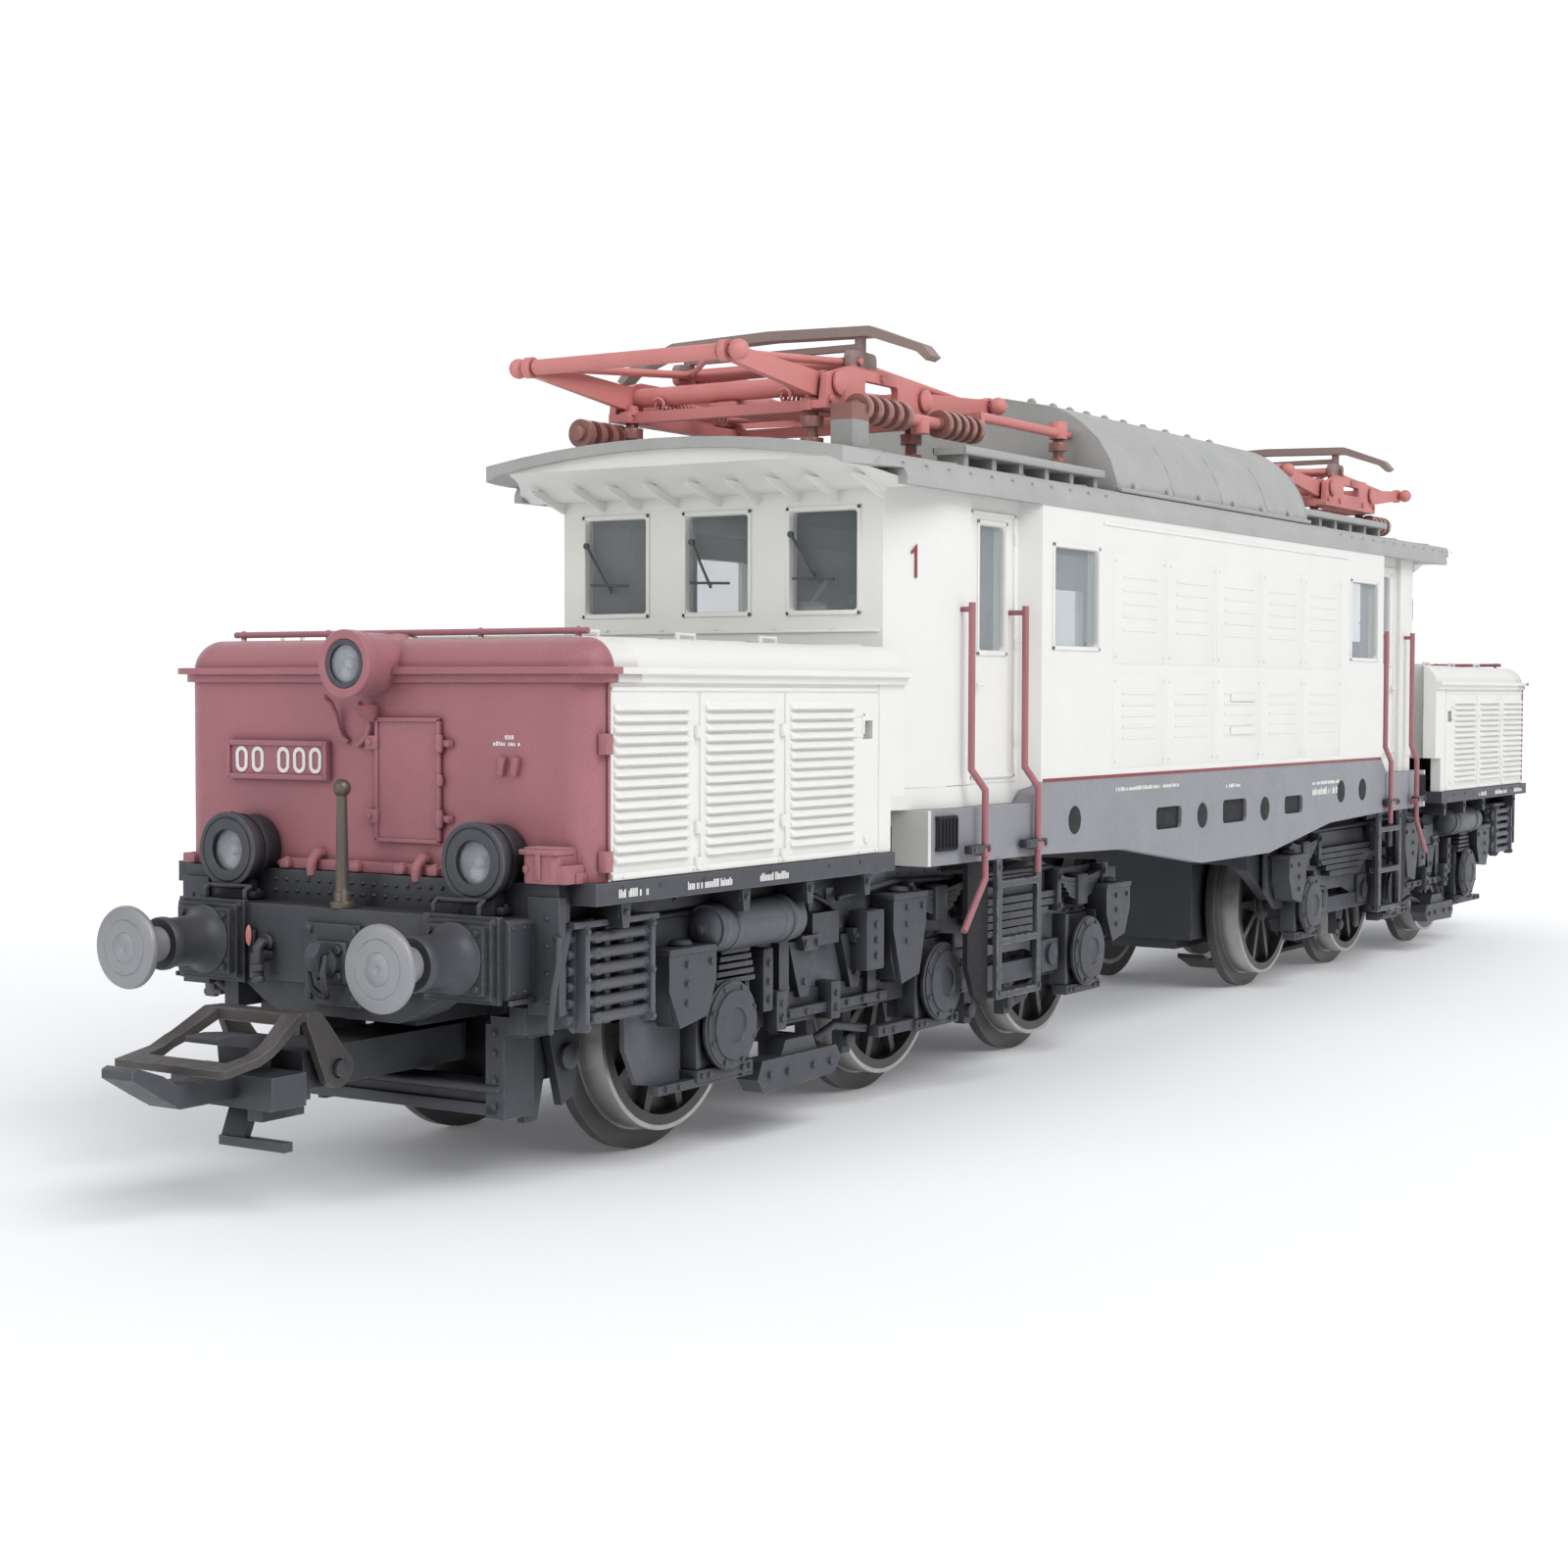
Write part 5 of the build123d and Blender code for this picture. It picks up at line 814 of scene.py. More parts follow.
def bogie_fittings(s):
    for x in AXLES[:3]:
        axle_cover(s, x)
        s.box((x - 3.2, x + 3.2), (-14.4, -13.0), (5.2, 6.0), 0.12)
        for dx in (-2.7, -1.9, 1.9, 2.7):
            s.bolt((x + dx, -14.4, 5.6), "-y")
        for dx in (-2.75, 2.75):
            s.box((x + dx - 0.3, x + dx + 0.3), (-14.2, -12.6), (6.0, 11.8), 0.1)
        for dx in (-1.6, 0, 1.6):
            s.bolt((x + dx, -13.4, 11.9), "z", 0.22, 0.2)
    sandbox(s, -86.3, -81.2, 13.9)
    sandbox(s, -58.9, -54.2, 15.4)
    sandbox(s, -23.4, -18.8, 13.8)
    for i in range(5):
        z = 11.2 + 0.48 * i
        s.box((-80.3 + 0.15 * i, -75.8 - 0.15 * i), (-14.6, -13.2), (z, z + 0.34), 0.06)
    s.box((-74.2, -73.0), (-14.2, -12.6), (8.8, 13.0), 0.12)
    for z in (9.6, 10.8, 12.0):
        s.bolt((-73.6, -14.2, z), "-y", 0.22, 0.18)
    for x in (-72.1, -65.2):
        s.box((x - 0.6, x + 0.6), (-14.3, -12.8), (7.4, 10.0), 0.1)
        s.bolt((x, -14.3, 8.2), "-y", 0.26, 0.2)
        s.bolt((x, -14.3, 9.2), "-y")
    s.box((-72.2, -57.5), (-13.9, -13.0), (7.9, 8.6), 0.1)
    for x in (-70.6, -68.4, -63.1, -60.9, -58.7):
        s.bolt((x, -13.9, 8.25), "-y", 0.22, 0.18)
    for x in (-68.3, -61.6):
        s.prism("y", [(x - 1.9, 13.0), (x + 1.9, 13.0), (x + 0.5, 9.2), (x - 0.5, 9.2)], -13.6, -12.1, 0.12)
        s.prism("y", [(x - 1.2, 13.4), (x + 1.2, 13.4), (x + 0.8, 12.4), (x - 0.8, 12.4)], -14.2, -13.4, 0.1)
        s.bolt((x - 0.7, -14.2, 12.9), "-y", 0.22, 0.18)
        s.bolt((x + 0.7, -14.2, 12.9), "-y", 0.22, 0.18)
        s.bolt((x, -13.6, 10.2), "-y", 0.22, 0.2)
    s.prism("y", [(-74.5, 5.6), (-65.2, 5.6), (-64.6, 4.8), (-65.4, 3.7), (-74.2, 3.5), (-75.0, 4.4)], -14.3, -12.6,
            0.16)
    s.prism("y", [(-71.2, 6.6), (-67.8, 6.6), (-67.2, 5.5), (-71.8, 5.5)], -14.0, -12.4, 0.1)
    for x in (-73.6, -71.4, -68.2, -66.0):
        s.bolt((x, -14.3, 4.6), "-y", 0.22, 0.18)
    s.tube([(-74.8, -12.9, 6.4), (-73.2, -12.8, 8.3), (-70.6, -12.8, 8.9)], 0.32)
    s.tube([(-66.0, -12.9, 5.9), (-63.2, -12.8, 6.6), (-58.9, -12.8, 5.9)], 0.3)
    s.box((-86.0, -75.4), (-14.2, -13.4), (4.9, 5.5), 0.1)
    for x in (-85.2, -83.8, -76.8):
        s.bolt((x, -14.2, 5.2), "-y", 0.22, 0.18)
    s.box((-59.0, -48.2), (-14.1, -13.2), (5.3, 6.1), 0.1)
    for x in (-58.2, -56.9, -49.6):
        s.bolt((x, -14.1, 5.7), "-y", 0.22, 0.18)
    leaf_spring(s, -50.9, 15.3, 4.3, 5, -13.7)
    leaf_spring(s, -26.0, 14.6, 4.2, 5, -13.3)
    s.box((-47.0, -44.0), (-13.4, -12.4), (7.4, 10.4), 0.12)
    s.box((-33.0, -30.0), (-14.0, -12.4), (7.4, 10.0), 0.12)
    for x, y in ((-45.5, -13.4), (-31.5, -14.0)):
        s.lathe([(0.85, 0), (0.85, 0.3), (0.6, 0.4), (0, 0.45)], (x, y, 8.8), "-y", 18)
        s.tube([(x, -12.6, 7.6), (x - 1.4, -12.2, 5.4), (x - 3.6, -11.4, 4.6)], 0.36)
    for x, low in ((-69.6, 4.2), (-60.0, 4.2), (-41.8, 4.2), (-35.2, 4.2)):
        s.prism("y", [(x - 0.75, 12.2), (x + 0.75, 12.2), (x + 0.5, low), (x - 0.5, low)], -12.0, -11.1, 0.1)
        s.lathe([(0.55, 0), (0.55, 0.5), (0.4, 0.6), (0, 0.62)], (x, -11.9, 5.2), "-y", 14)
    for x in (-93.4, -89.6, -85.0, -77.6, -70.4, -66.4):
        s.rivet((x, -16.9, 18.35), "-y")
    for x in (-92.4, -79.6, -72.0, -64.6):
        s.prism("y", [(x - 0.5, 17.4), (x + 0.5, 17.4), (x + 0.3, 16.0), (x - 0.3, 16.0)], -16.4, -13.9, 0.08)
        s.bolt((x, -16.4, 16.9), "-y", 0.18, 0.14)
    for x in (-84.0, -76.0, -68.0, -60.0):
        s.rivet((x, -13.9, 16.9), "-y", 0.16)
    s.tube([(-86.2, -13.2, 15.9), (-66.4, -13.2, 15.9), (-64.8, -13.4, 15.2), (-63.4, -13.4, 13.6)], 0.22)
    s.tube([(-64.0, -13.6, 15.6), (-56.0, -13.6, 16.2), (-48.0, -13.4, 15.9), (-30.0, -13.2, 15.7)], 0.24)
    s.box((-62.2, -59.8), (-15.0, -13.4), (10.4, 14.6), 0.14)
    for z in (11.4, 12.5, 13.6):
        s.bolt((-61.0, -15.0, z), "-y", 0.22, 0.18)
    s.both_sides()


def side_sheets(s):
    """Plain plates behind the springs and rods, hiding the upper half of the wheels."""
    foot = [(-87.9, 7.9), (-86.6, 5.6), (-82.8, 5.0), (-80.8, 5.4), (-76.4, 5.4), (-73.6, 6.6), (-72.9, 7.4),
            (-57.4, 7.4), (-56.8, 8.0), (-44.0, 8.2), (-40.0, 9.4),
            (-34.0, 9.4), (-31.0, 8.4), (-21.0, 8.4), (-18.4, 10.2)]
    s.prism("y", [(-87.9, 17.1), *foot, (-18.4, 15.4), (-47.0, 15.4), (-48.6, 17.1)], -12.95, -12.6, 0.1)
    for x in (-71.6, -66.8, -64.4, -58.6):
        s.prism("y", [(x - 0.5, 17.0), (x + 0.5, 17.0), (x + 0.16, 14.6), (x - 0.16, 14.6)], -13.2, -12.9, 0.06)
    for i in range(20):
        s.rivet((-86.4 + i * 2.0, -12.95, 16.6), "-y", 0.12)
    s.both_sides()


def side_wire(s):
    """Bent grab wire from the beam down past the coil."""
    s.tube([(-96.8, -14.4, 15.9), (-97.3, -15.3, 15.6), (-97.7, -15.5, 14.2), (-98.0, -15.4, 12.8),
            (-97.9, -15.1, 11.0), (-97.0, -14.4, 10.2)], 0.2)


def coil_fittings(s):
    """Pipe nuts, return bends and clamps of the cooling coil."""
    for i in range(6):
        z = 10.7 + 0.95 * i
        s.tube([(-93.9, -15.0, z), (-88.6, -15.0, z)], 0.34, 12)
        for x in (-93.7, -89.0):
            s.lathe([(0.38, 0), (0.38, 0.4)], (x, -15.0, z), "x", 6)
        if i % 2 == 0:
            s.tube([(-88.6, -15.0, z), (-88.1, -15.0, z + 0.1), (-87.9, -15.0, z + 0.47), (-88.1, -15.0, z + 0.85),
                    (-88.6, -15.0, z + 0.95)], 0.24, 8)
        else:
            s.tube([(-93.9, -15.0, z), (-94.5, -15.0, z + 0.1), (-94.7, -15.0, z + 0.47), (-94.5, -15.0, z + 0.85),
                    (-93.9, -15.0, z + 0.95)], 0.24, 8)
    for x in (-94.9, -88.4):
        s.box((x - 0.2, x + 0.25), (-15.5, -14.6), (10.0, 16.2), 0.08)
        for z in (10.3, 13.1, 15.9):
            s.bolt((x, -15.5, z), "-y", 0.18, 0.14)
    s.box((-96.0, -87.6), (-15.4, -14.2), (16.1, 16.5), 0.08)
    s.tube([(-95.6, -14.6, 16.2), (-96.1, -14.4, 14.0), (-95.9, -14.2, 11.6), (-94.0, -13.8, 10.0)], 0.3)
    s.both_sides()


def tank_fittings(s):
    for y in (-14.3, 14.3):
        s.lathe([(0, -0.55), (0.7, -0.45), (1.2, -0.2), (1.47, 0.12), (1.54, 0.3), (1.54, 9.2), (1.47, 9.5),
                 (1.2, 9.85),
                 (0.7, 10.1), (0, 10.2)], (-81.1, y, 14.9), "x", 40)
        for x in (-79.6, -73.0):
            s.lathe([(1.6, 0), (1.64, 0.1), (1.64, 0.4), (1.6, 0.5)], (x, y, 14.9), "x", 40)
        s.bolt((-81.6, y, 14.9), "-x", 0.3, 0.24)


def rail_guard(s):
    s.tube([(-94.45, -8.6, 6.0), (-94.45, 8.6, 6.0)], 0.32)
    s.box((-94.6, -94.1), (-8.6, 8.6), (4.35, 5.1), 0.12)
    for side in (-1, 1):
        for z in (5.0, 6.6, 8.2, 9.4):
            s.bolt((-94.6, side * 8.3, z), "-x")
        s.prism("y", [(-90.6, 8.8), (-88.6, 9.6), (-87.6, 8.2), (-88.2, 5.0), (-89.4, 4.4)], side * 9.0 - 0.3,
                side * 9.0 + 0.3,
                0.1)
        s.lathe([(0.8, 0), (0.8, 0.4), (0.55, 0.55), (0, 0.6)], (-89.0, side * 9.3, 7.4), OUTWARD[side], 18)


def rail_clamps(s):
    """Black clamps of the grab rails, the ladder's bolts, and rows of small bars."""
    for x0, x1 in ((-52.4, -49.5), (-43.6, -40.2)):
        s.box((x0, x1), (-18.02, -17.3), (18.1, 18.75), 0.1)
        for x in (x0 + 0.4, x1 - 0.4):
            s.bolt((x, -18.02, 18.42), "-y", 0.2, 0.12)
    for x in (-46.5, -39.9):
        s.bolt((x, -17.2, 16.8), "-y", 0.22, 0.14)
        s.bolt((x, -17.2, 7.4), "-y", 0.18, 0.12)
    for z in (15.75, 11.45, 7.4):
        for i in range(6):
            s.box((-46.0 + i * 1.05, -45.4 + i * 1.05), (-17.1, -16.2), (z - 0.02, z + 0.06), 0.02, 1)
    s.both_sides()


def ladder_plate(s):
    s.prism("y", [(-50.3, 17.3), (-47.1, 17.3), (-47.1, 7.0), (-48.0, 6.6), (-49.2, 7.4), (-50.3, 9.6)], -16.5, -16.1,
            0.1)
    s.both_sides()


def cab_skirt(s):
    """Foot of the cab walls, down to the step of the frame."""
    side = [(-58.85, 14.05), (-52.8, 16.0), (-49.1, 16.0), (-49.1, 15.5), (-40.6, 15.5), (-40.2, 16.6)]
    s.prism("z", side + [(x, -y) for x, y in reversed(side)], 21.42, 23.04, 0.05)


def frame_grilles(s):
    for i in range(6):
        x = -55.4 + i * 0.5
        s.box((x, x + 0.2), (-17.02, -16.5), (18.6, 20.8), 0.04)
    s.box((-55.55, -52.65), (-16.95, -16.5), (18.45, 18.7), 0.05)
    s.box((-55.55, -52.65), (-16.95, -16.5), (20.7, 20.95), 0.05)
    s.box((-55.5, -52.7), (-16.82, -16.45), (18.6, 20.8), 0.03)
    s.both_sides()


def frame_backing(s):
    """Near-black plates behind the openings of the side girders, and near-black discs on their oval openings: painted
    shade for the dark inside.
    """
    for side in (-1, 1):
        for x in (-15.4, -0.6, 14.3):
            s.box((x - 3.1, x + 3.1), (side * 16.95, side * 15.9), (17.9, 20.5), 0.1)
        for x, z in ((-33.9, 19.8), (-8.1, 19.1), (6.8, 19.1), (27.5, 20.0), (33.9, 20.0)):
            s.lathe([(1.1, 0), (1.1, 0.05), (1.0, 0.07), (0, 0.06)], (x, side * 17.22, z),
                    OUTWARD[side], 28)


def frame_lettering(s):
    for side in (-1, 1):
        for x0, x1, z, tall in ((-26.2, -13.3, 21.8, 0.34), (-2.9, 0.6, 21.35, 0.34), (19.3, 26.9, 19.9, 0.7),
                                (19.3, 26.9, 20.9, 0.34)):
            if side > 0:
                x0, x1 = -x1, -x0
            marks(s, (x0, side * 17.24, z), (1, 0, 0), (0, 0, 1), (0, side, 0), x1 - x0, tall, int(40 + z * 10))


# ---------------------------------------------------------------- body, roof and cab
def frame_of(s, spans, at, out, width=0.3, depth=0.14, axis="y"):
    """Raised border round an opening: spans are (u0, u1, z0, z1) on the plane at the given depth."""
    u0, u1, z0, z1 = spans
    skin = sorted((at, at + out * depth))
    skin = (skin[0] - 0.1, skin[1]) if out > 0 else (skin[0], skin[1] + 0.1)
    for (a, b), (c, d) in (((u0, u1), (z0, z0 + width)), ((u0, u1), (z1 - width, z1)), ((u0, u0 + width), (z0, z1)),
                           ((u1 - width, u1), (z0, z1))):
        if axis == "y":
            s.box((a, b), skin, (c, d), 0.05)
        else:
            s.box(skin, (a, b), (c, d), 0.05)


def body_fittings(s):
    for y0, y1 in ((-12.05, -6.4), (-2.75, 2.75), (6.4, 12.05)):
        frame_of(s, (y0 - 0.32, y1 + 0.32, 35.35, 43.15), -58.85, -1, 0.3, 0.12, "x")
    for side in (-1, 1):
        frame_of(s, (-47.3, -42.5, 32.6, 42.7), side * 15.5, side, 0.3, 0.12)
        frame_of(s, (-48.5, -41.2, 23.4, 43.35), side * 15.5, side, 0.28, 0.16)
        frame_of(s, (-38.15, -29.65, 33.15, 41.45), side * 17.24, side, 0.32, 0.12)
        s.box((-48.2, -47.7), (side * 15.5, side * 15.85), (30.2, 30.7), 0.1)
        s.tube([(-47.9, side * 15.9, 30.4), (-47.0, side * 15.9, 30.4)], 0.13, 8)
        for z in (25.6, 33.0, 41.0):
            s.box((-41.5, -41.0), (side * 15.5, side * 15.75), (z, z + 0.9), 0.08)
        s.box((-58.7, -57.9), (side * 13.9, side * 14.25), (23.1, 43.6), 0.08)
    for y in (-14.2, -10.4, -7.1, -3.6, -0.2, 3.6, 7.1, 10.4, 14.2):
        s.prism("y", [(-58.8, 43.4), (-58.8, 44.9), (-63.2, 44.95), (-62.6, 44.55)], y - 0.14, y + 0.14, 0.06)
    for y in (-10.0, -5.0, 0.0, 5.0, 10.0):
        s.rivet((-59.0, y, 34.4), "-x", 0.12)
    s.box((-59.05, -58.75), (-13.9, 13.9), (34.1, 34.3), 0.05)


def wall_panels(s):
    """Faint raised access panels with louvres along the machine room."""
    edges = [-27.2 + i * 10.88 for i in range(6)]
    for side in (-1, 1):
        for x0, x1 in zip(edges, edges[1:]):
            for z0, z1 in ((23.7, 31.4), (32.2, 41.2)):
                s.box((x0 + 0.2, x1 - 0.2), (side * 17.2, side * 17.275), (z0, z1), 0.03)
                for k in range(5):
                    z = z0 + (z1 - z0) * (0.3 + 0.12 * k)
                    s.box((x0 + 2.0, x1 - 2.0), (side * 17.25, side * 17.33), (z, z + 0.24), 0.04)
            for z in (24.2, 30.8, 32.8, 40.6):
                s.rivet((x0 + 0.6, side * 17.3, z), OUTWARD[side], 0.11)
                s.rivet((x1 - 0.6, side * 17.3, z), OUTWARD[side], 0.11)
        s.box((-29.0, 29.0), (side * 17.2, side * 17.34), (43.3, 43.6), 0.05)
        for z in (29.46, 26.45):
            s.box((-2.1, 3.9), (side * 17.25, side * 17.46), (z - 0.35, z + 0.35), 0.06)


def body_stripe(s):
    """Thin red line along the foot of the body."""
    for side in (-1, 1):
        s.box((-39.6, 39.6), (side * 17.2, side * 17.3), (22.95, 23.2), 0.03)


def cab_number(s):
    along, out = Vector((6.05, -1.83, 0)).normalized(), Vector((-1.83, -6.05, 0)).normalized()
    for turn in (1, -1):
        base = Vector((-56.4, -14.86 - 0.13, 38.0))
        step, face = along.copy(), out.copy()
        if turn < 0:
            base.y, step.y, face.y = -base.y, -step.y, -face.y
            base = base + step * 0.9
            step = -step
        ribbon(s, [(0.55, 0), (0.55, 2.2), (0.1, 1.75)], 0.2, base, step, (0, 0, 1), face, 0.05)


def wipers(s):
    for y0, z0, y1, z1, level in ((11.96, 40.9, 9.56, 37.3, 37.9), (2.2, 40.9, 0.4, 37.5, 37.9),
                                  (-6.5, 41.2, -8.6, 38.0, 38.0)):
        s.tube([(-58.95, y0, z0), (-59.05, y1, z1)], 0.11, 8)
        s.tube([(-59.0, y1 + 1.9, level), (-59.0, y1 - 1.6, level - 0.1)], 0.1, 8)
        s.lathe([(0.24, 0), (0.24, 0.2), (0, 0.28)], (-58.86, y0, z0), "-x", 12)
        s.rivet((-59.0, y1, z1 + 0.3), "-x", 0.14)


def cab_interior(s):
    s.box((-57.6, -55.4), (-12.6, 12.6), (24.5, 35.2), 0.3)
    s.box((-57.7, -55.0), (-8.8, -3.6), (35.0, 36.1), 0.25)
    s.lathe([(1.5, 0), (1.6, 0.25), (1.5, 0.5), (0, 0.6)], (-55.6, -6.2, 35.9), "z", 28)
    s.tube([(-55.6, -6.2, 36.3), (-54.6, -6.9, 38.0)], 0.2, 8)
    s.box((-50.4, -47.6), (-8.4, -4.6), (30.4, 31.4), 0.4)
    s.box((-48.2, -47.6), (-8.3, -4.7), (31.2, 37.4), 0.3)
    s.lathe([(0.5, 0), (0.5, 7.0)], (-49.0, -6.5, 23.6), "z", 16)
    s.box((-41.8, -41.2), (-14.6, -4.0), (24.0, 43.2), 0.1)
    s.box((-43.0, -41.6), (-12.4, -6.4), (26.0, 39.6), 0.25)
    for z in (28.0, 31.0, 34.0, 37.0):
        s.box((-43.2, -42.9), (-11.8, -7.0), (z, z + 1.6), 0.12)


def hatch_fittings(s):
    for x in (-20.6, -16.5, -13.2, -9.8, -6.0, -2.0, 2.5, 7.6, 12.9, 18.4):
        for y in (-6.5, 6.5):
            s.box((x - 0.3, x + 0.3), (y - 0.35, y + 0.35), (54.0, 54.8), 0.1)
            s.lathe([(0.3, 0), (0.26, 0.15), (0, 0.22)], (x, y, 54.78), "z", 12)
    arc = [(-15.25, 47.2), (-14.6, 49.2), (-13.5, 51.0), (-11.7, 52.6), (-9.2, 53.85), (-4.8, 54.75), (0.0, 55.0)]
    arc += [(-y, z) for y, z in reversed(arc[:-1])]
    for x in (-22.2, -10.6, 0.4, 11.4, 22.2):
        s.tube([(x, y * 1.003, z + 0.02) for y, z in arc], 0.12, 8)
    for side in (-1, 1):
        s.box((-22.3, 22.3), (side * 15.2, side * 15.75), (46.5, 46.9), 0.08)
        for x in (-19.0, -12.0, -5.0, 3.0, 10.0, 17.0):
            s.lathe([(0.36, 0), (0.36, 0.3), (0.2, 0.5), (0, 0.52)], (x, side * 15.45, 46.85), "z", 12)


WALKWAY_X = (-47.7, -23.4)


def roof_fittings(s):
    for side in (-1, 1):
        for i in range(25):
            x = WALKWAY_X[0] + 0.35 + i * 0.97
            s.box((x, x + 0.55), (side * 12.1, side * 14.55), (48.05, 48.17), 0.04, 1)
        for inner in (11.9, 14.6):
            s.box(WALKWAY_X, (side * inner, side * (inner + 0.15)), (47.6, 48.2), 0.04)
        for i in range(12):
            s.rivet((-64.0 + i * 3.3, side * 16.9, 45.75), "z", 0.14)
    for x in (-61.0, -50.0, -39.0, -28.0):
        arc = [(y, 46.55 + 1.27 * (1 - (y / 15.2) ** 2)) for y in (-15.2, -11.0, -7.0, -3.5, 0, 3.5, 7.0, 11.0, 15.2)]
        s.tube([(x, y, z) for y, z in arc], 0.1, 6)
    s.lathe([(1.0, 0), (1.0, 0.6), (1.25, 0.7), (1.25, 0.95), (0.7, 1.3), (0, 1.4)], (-33.5, 3.0, 47.4), "z", 28)
    s.box((-30.0, -26.6), (-3.0, 3.2), (47.3, 48.5), 0.2)


def pantograph_fittings(s):
    """Springs, drive cylinder, levers and bolts standing on the base frame."""
    for y in (-5.6, 5.6):
        s.coil((-58.6, y, 51.3), (-49.6, y, 51.1), 0.48, 0.12, 16)
        s.tube([(-49.6, y, 51.1), (-45.6, y, 51.4)], 0.14, 8)
    s.lathe([(0.7, 0), (0.95, 0.1), (0.95, 4.8), (0.8, 5.0), (0.3, 5.05), (0.3, 7.2), (0, 7.25)], (-57.8, 0, 51.2),
            "x", 24)
    s.box((-58.2, -57.0), (-1.2, 1.2), (50.4, 51.2), 0.12)
    s.tube([(-50.6, 0, 51.2), (-49.4, 0.0, 52.2), (-45.0, 1.2, 52.1)], 0.22, 8)
    for side in (-1, 1):
        out = OUTWARD[side]
        for x in (-58.6, -55.0, -47.6, -44.0):
            s.bolt((x, side * 9.6, 50.8), out, 0.26, 0.2)
        for x in (-57.6, -45.0):
            s.lathe([(0.85, 0), (0.85, 0.2), (0.6, 0.3), (0, 0.34)], (x, side * 9.72, 52.0), out, 22)
        s.bolt((-51.3, side * 9.6, 52.95), out, 0.24, 0.2)
        for x in (-58.5, -44.1):
            s.lathe([(0.75, 0), (0.75, 0.3), (0.5, 0.4), (0.5, 0.7), (0, 0.75)], (x, side * 8.0, 50.6), "z", 16)


# ---------------------------------------------------------------- floor, light, camera
ROOM_LIGHT = (0.97, 0.98, 1.0)
CAMERA_YAW = 32.55


def studio():
    """Pale floor that curves up into a wall behind the model and glows more the further back it is, as painted light; a
    soft room and two softboxes.
    """
    bm = bmesh.new()
    rows = []
    section = [(-1.2, 0.0), (1.0, 0.0)]
    for i in range(1, 13):
        angle = math.radians(7.5 * i)
        section.append((1.0 + 0.6 * math.sin(angle), 0.6 - 0.6 * math.cos(angle)))
    section.append((1.6, 2.4))
    for along, up in section:
        rows.append([bm.verts.new((along, side, up)) for side in (-2.6, 3.4)])
    for a, b in zip(rows, rows[1:]):
        bm.faces.new((a[0], b[0], b[1], a[1]))
    mesh = bpy.data.meshes.new("studio_floor")
    bm.to_mesh(mesh)
    mesh.shade_smooth()
    floor = bpy.data.objects.new("studio_floor", mesh)
    bpy.context.scene.collection.objects.link(floor)
    floor.matrix_world = Matrix.Rotation(math.radians(CAMERA_YAW), 4, "Z")
    sh = Shader("floor_paper")
    tone = sh.ramp(sh.noise(14.0, 3.0), 0.3, 0.7)
    # The floor glows, weakly near the model and more strongly further back: painted light that whitens the floor round
    # the model's shadow.
    mesh.materials.append(sh.finish(
        Base_Color=sh.mix(tone, (0.93, 0.935, 0.95), (0.95, 0.955, 0.965)), Roughness=0.85,
        Emission_Color=ROOM_LIGHT, Emission_Strength=sh.ramp(sh.axis(0), 0.0, 0.3, 0.08, 0.45),
        Normal=sh.bump(sh.noise(2200.0, 2.0), 0.1, 0.00002)))

    world = bpy.data.worlds.new("soft_room")
    bpy.context.scene.world = world
    world.use_nodes = True
    backdrop = world.node_tree.nodes["Background"]
    backdrop.inputs["Color"].default_value = (*ROOM_LIGHT, 1.0)
    backdrop.inputs["Strength"].default_value = 0.38
    for name, place, target, size, power in (
        ("key_softbox", (-0.25, -0.75, 0.75), (-0.02, 0.0, 0.03), 0.7, 7.6),
        ("front_softbox", (-0.9, 0.25, 0.45), (-0.08, 0.0, 0.03), 0.6, 2.4),
    ):
        data = bpy.data.lights.new(name, "AREA")
        data.shape = "SQUARE"
        data.size = size
        data.energy = power
        lamp = bpy.data.objects.new(name, data)
        lamp.location = place
        lamp.rotation_euler = (Vector(target) - Vector(place)).to_track_quat("-Z", "Y").to_euler()
        bpy.context.scene.collection.objects.link(lamp)


def camera():
    """The camera that was fitted to the photograph."""
    place = Vector((-0.20544, -0.09950, 0.02983))
    yaw, pitch, roll = (math.radians(v) for v in (CAMERA_YAW, -2.2, 0.17))
    ahead = Vector((math.cos(yaw) * math.cos(pitch), math.sin(yaw) * math.cos(pitch), math.sin(pitch)))
    right = Vector((math.sin(yaw), -math.cos(yaw), 0.0))
    up = right.cross(ahead)
    right, up = right * math.cos(roll) + up * math.sin(roll), up * math.cos(roll) - right * math.sin(roll)
    data = bpy.data.cameras.new("photo_camera")
    data.sensor_width = 36.0
    data.lens = 55.0
    data.clip_start, data.clip_end = 0.005, 20.0
    cam = bpy.data.objects.new("photo_camera", data)
    cam.matrix_world = Matrix.Translation(place) @ Matrix((right, up, -ahead)).transposed().to_4x4()
    bpy.context.scene.collection.objects.link(cam)
    bpy.context.scene.camera = cam


studio()
camera()
BOGIE = "{end}_bogie"
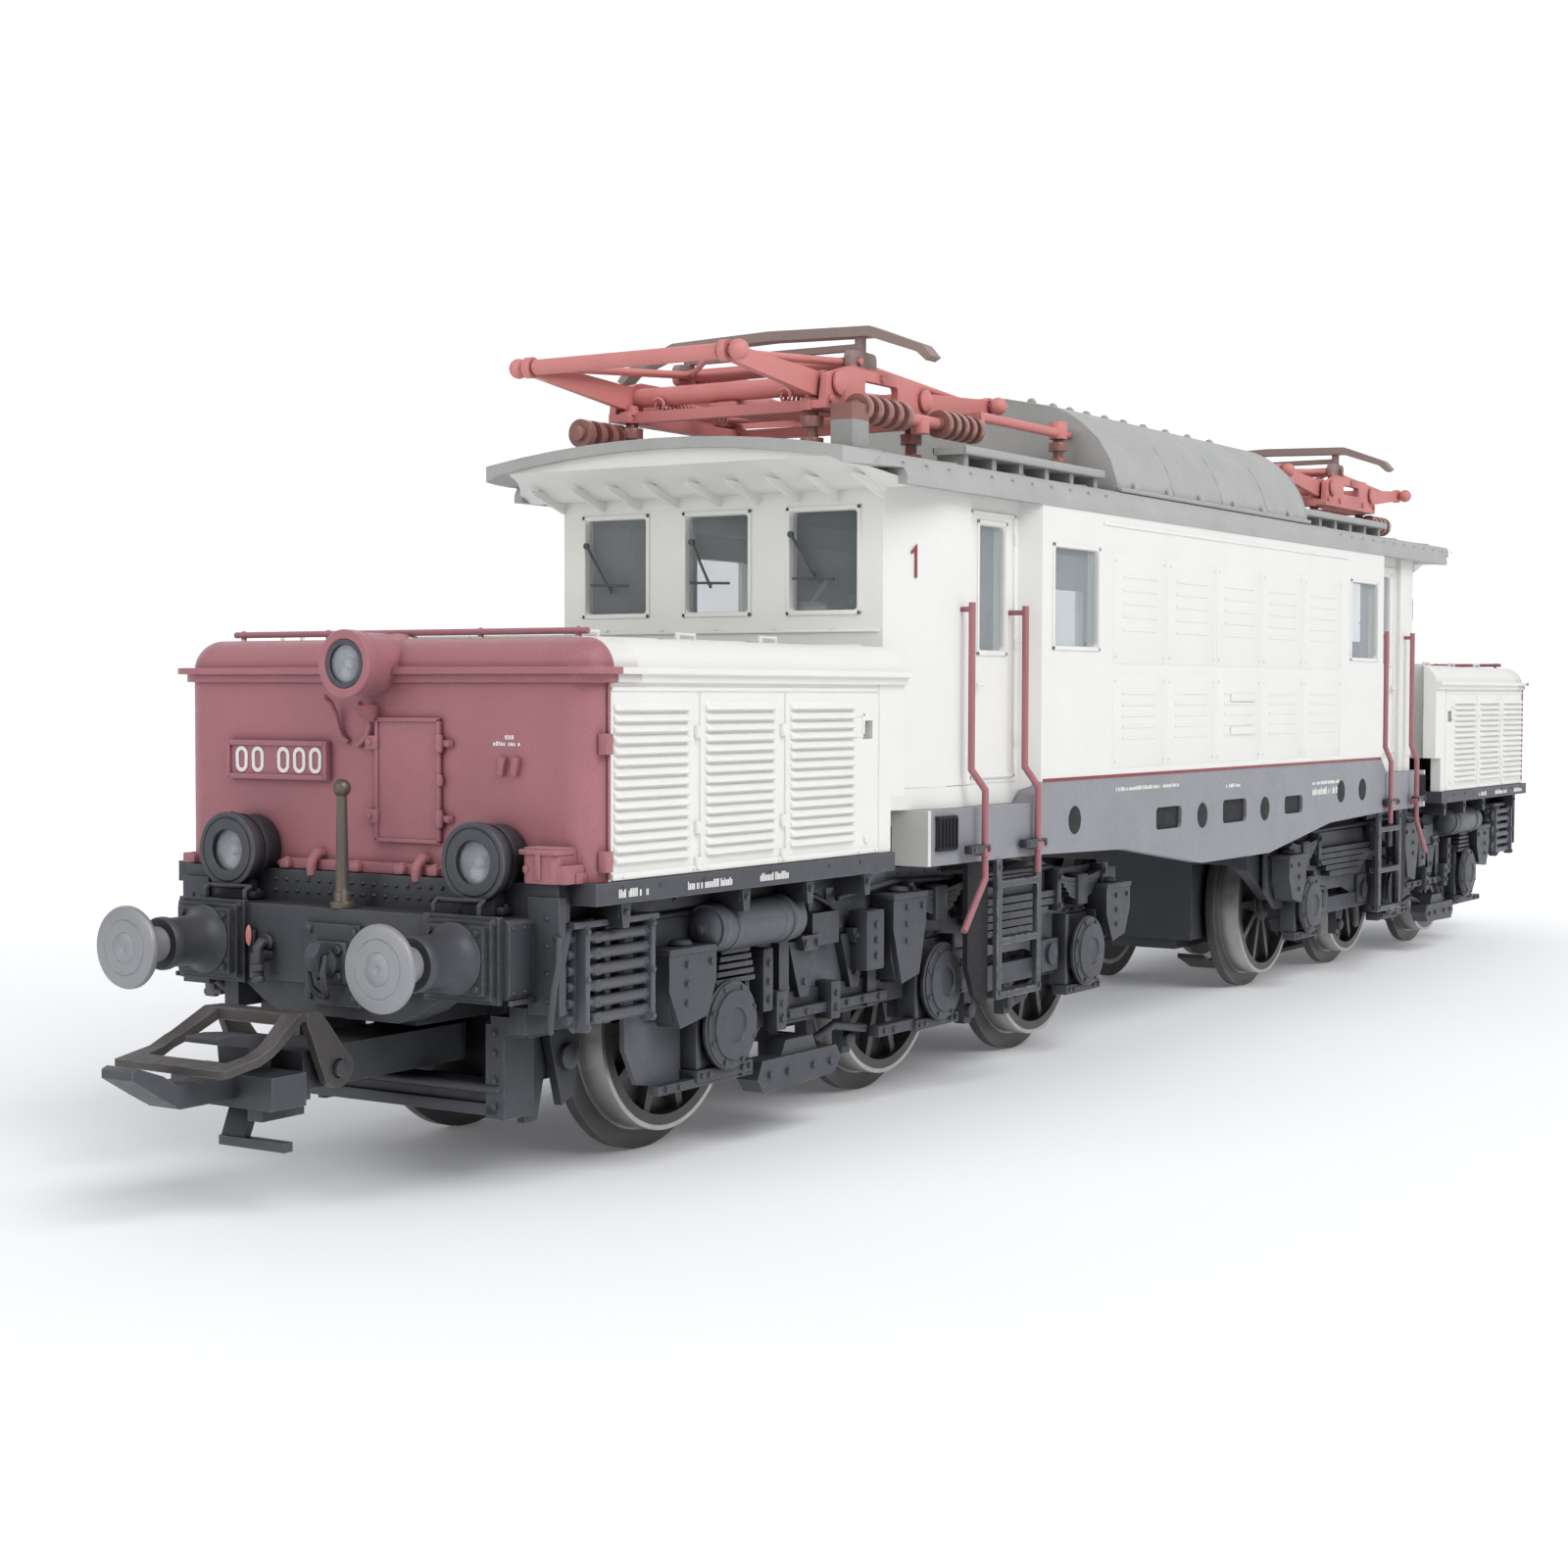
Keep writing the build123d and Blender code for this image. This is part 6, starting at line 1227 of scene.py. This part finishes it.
# Each row is the function that shapes the piece and names it, its body, its record slot, and where they differ from
# the slot and the CAD, its look and the nodes it replaces.
END_PIECES = (
    (nose_fittings, BOGIE, "nose_red"),
    (nose_lettering, BOGIE, "body_white", "lettering_white"),
    (lamp_glass, BOGIE, "glass", "lamp_glass", ["{end}_lamp_lenses"]),
    (lamp_reflectors, BOGIE, "buffer_metal", "reflector"),
    (lamp_bulbs, BOGIE, "glass", "bulb"),
    (headlamp_fittings, BOGIE, "chassis_black"),
    (hood_fittings, BOGIE, "body_white"),
    (strip_lettering, BOGIE, "body_white", "lettering_white"),
    (buffer_sleeves, BOGIE, "chassis_black"),
    (buffer_heads, BOGIE, "buffer_metal", None, ["{end}_buffers"]),
    (beam_fittings, BOGIE, "chassis_black"),
    (beam_cocks, BOGIE, "signal_red"),
    (bogie_fittings, BOGIE, "chassis_black"),
    (coil_fittings, BOGIE, "chassis_black", "tank_paint"),
    (tank_fittings, BOGIE, "chassis_black", "tank_paint"),
    (rail_guard, BOGIE, "chassis_black"),
    (rail_clamps, "root", "chassis_black"),
    (frame_grilles, "root", "chassis_black", "shade_black"),
    (cab_skirt, "root", "body_white"),
    (side_sheets, BOGIE, "chassis_black", "tank_paint"),
    (side_wire, BOGIE, "chassis_black"),
    (ladder_plate, "root", "chassis_black", "shade_black"),
    (body_fittings, "root", "body_white"),
    (cab_number, "root", "nose_red", "lettering_red"),
    (wipers, "root", "chassis_black"),
    (cab_interior, "root", "frame_grey", "cab_grey"),
    (roof_fittings, "root", "roof_grey"),
    (pantograph_fittings, "root", "signal_red"),
)
MIDDLE_PIECES = (
    (wall_panels, "root", "body_white"),
    (body_stripe, "root", "nose_red", "lettering_red"),
    (frame_backing, "root", "chassis_black", "shade_black"),
    (frame_lettering, "root", "body_white", "lettering_white"),
    (hatch_fittings, "root", "roof_grey"),
)
for rows, place in ((END_PIECES, emit_ends), (MIDDLE_PIECES, emit)):
    for shape, *facts in rows:
        solid = Solid()
        shape(solid)
        place(solid, shape.__name__, *facts)
bpy.context.scene.view_settings.view_transform = "Standard"
bpy.context.scene.view_settings.look = "None"
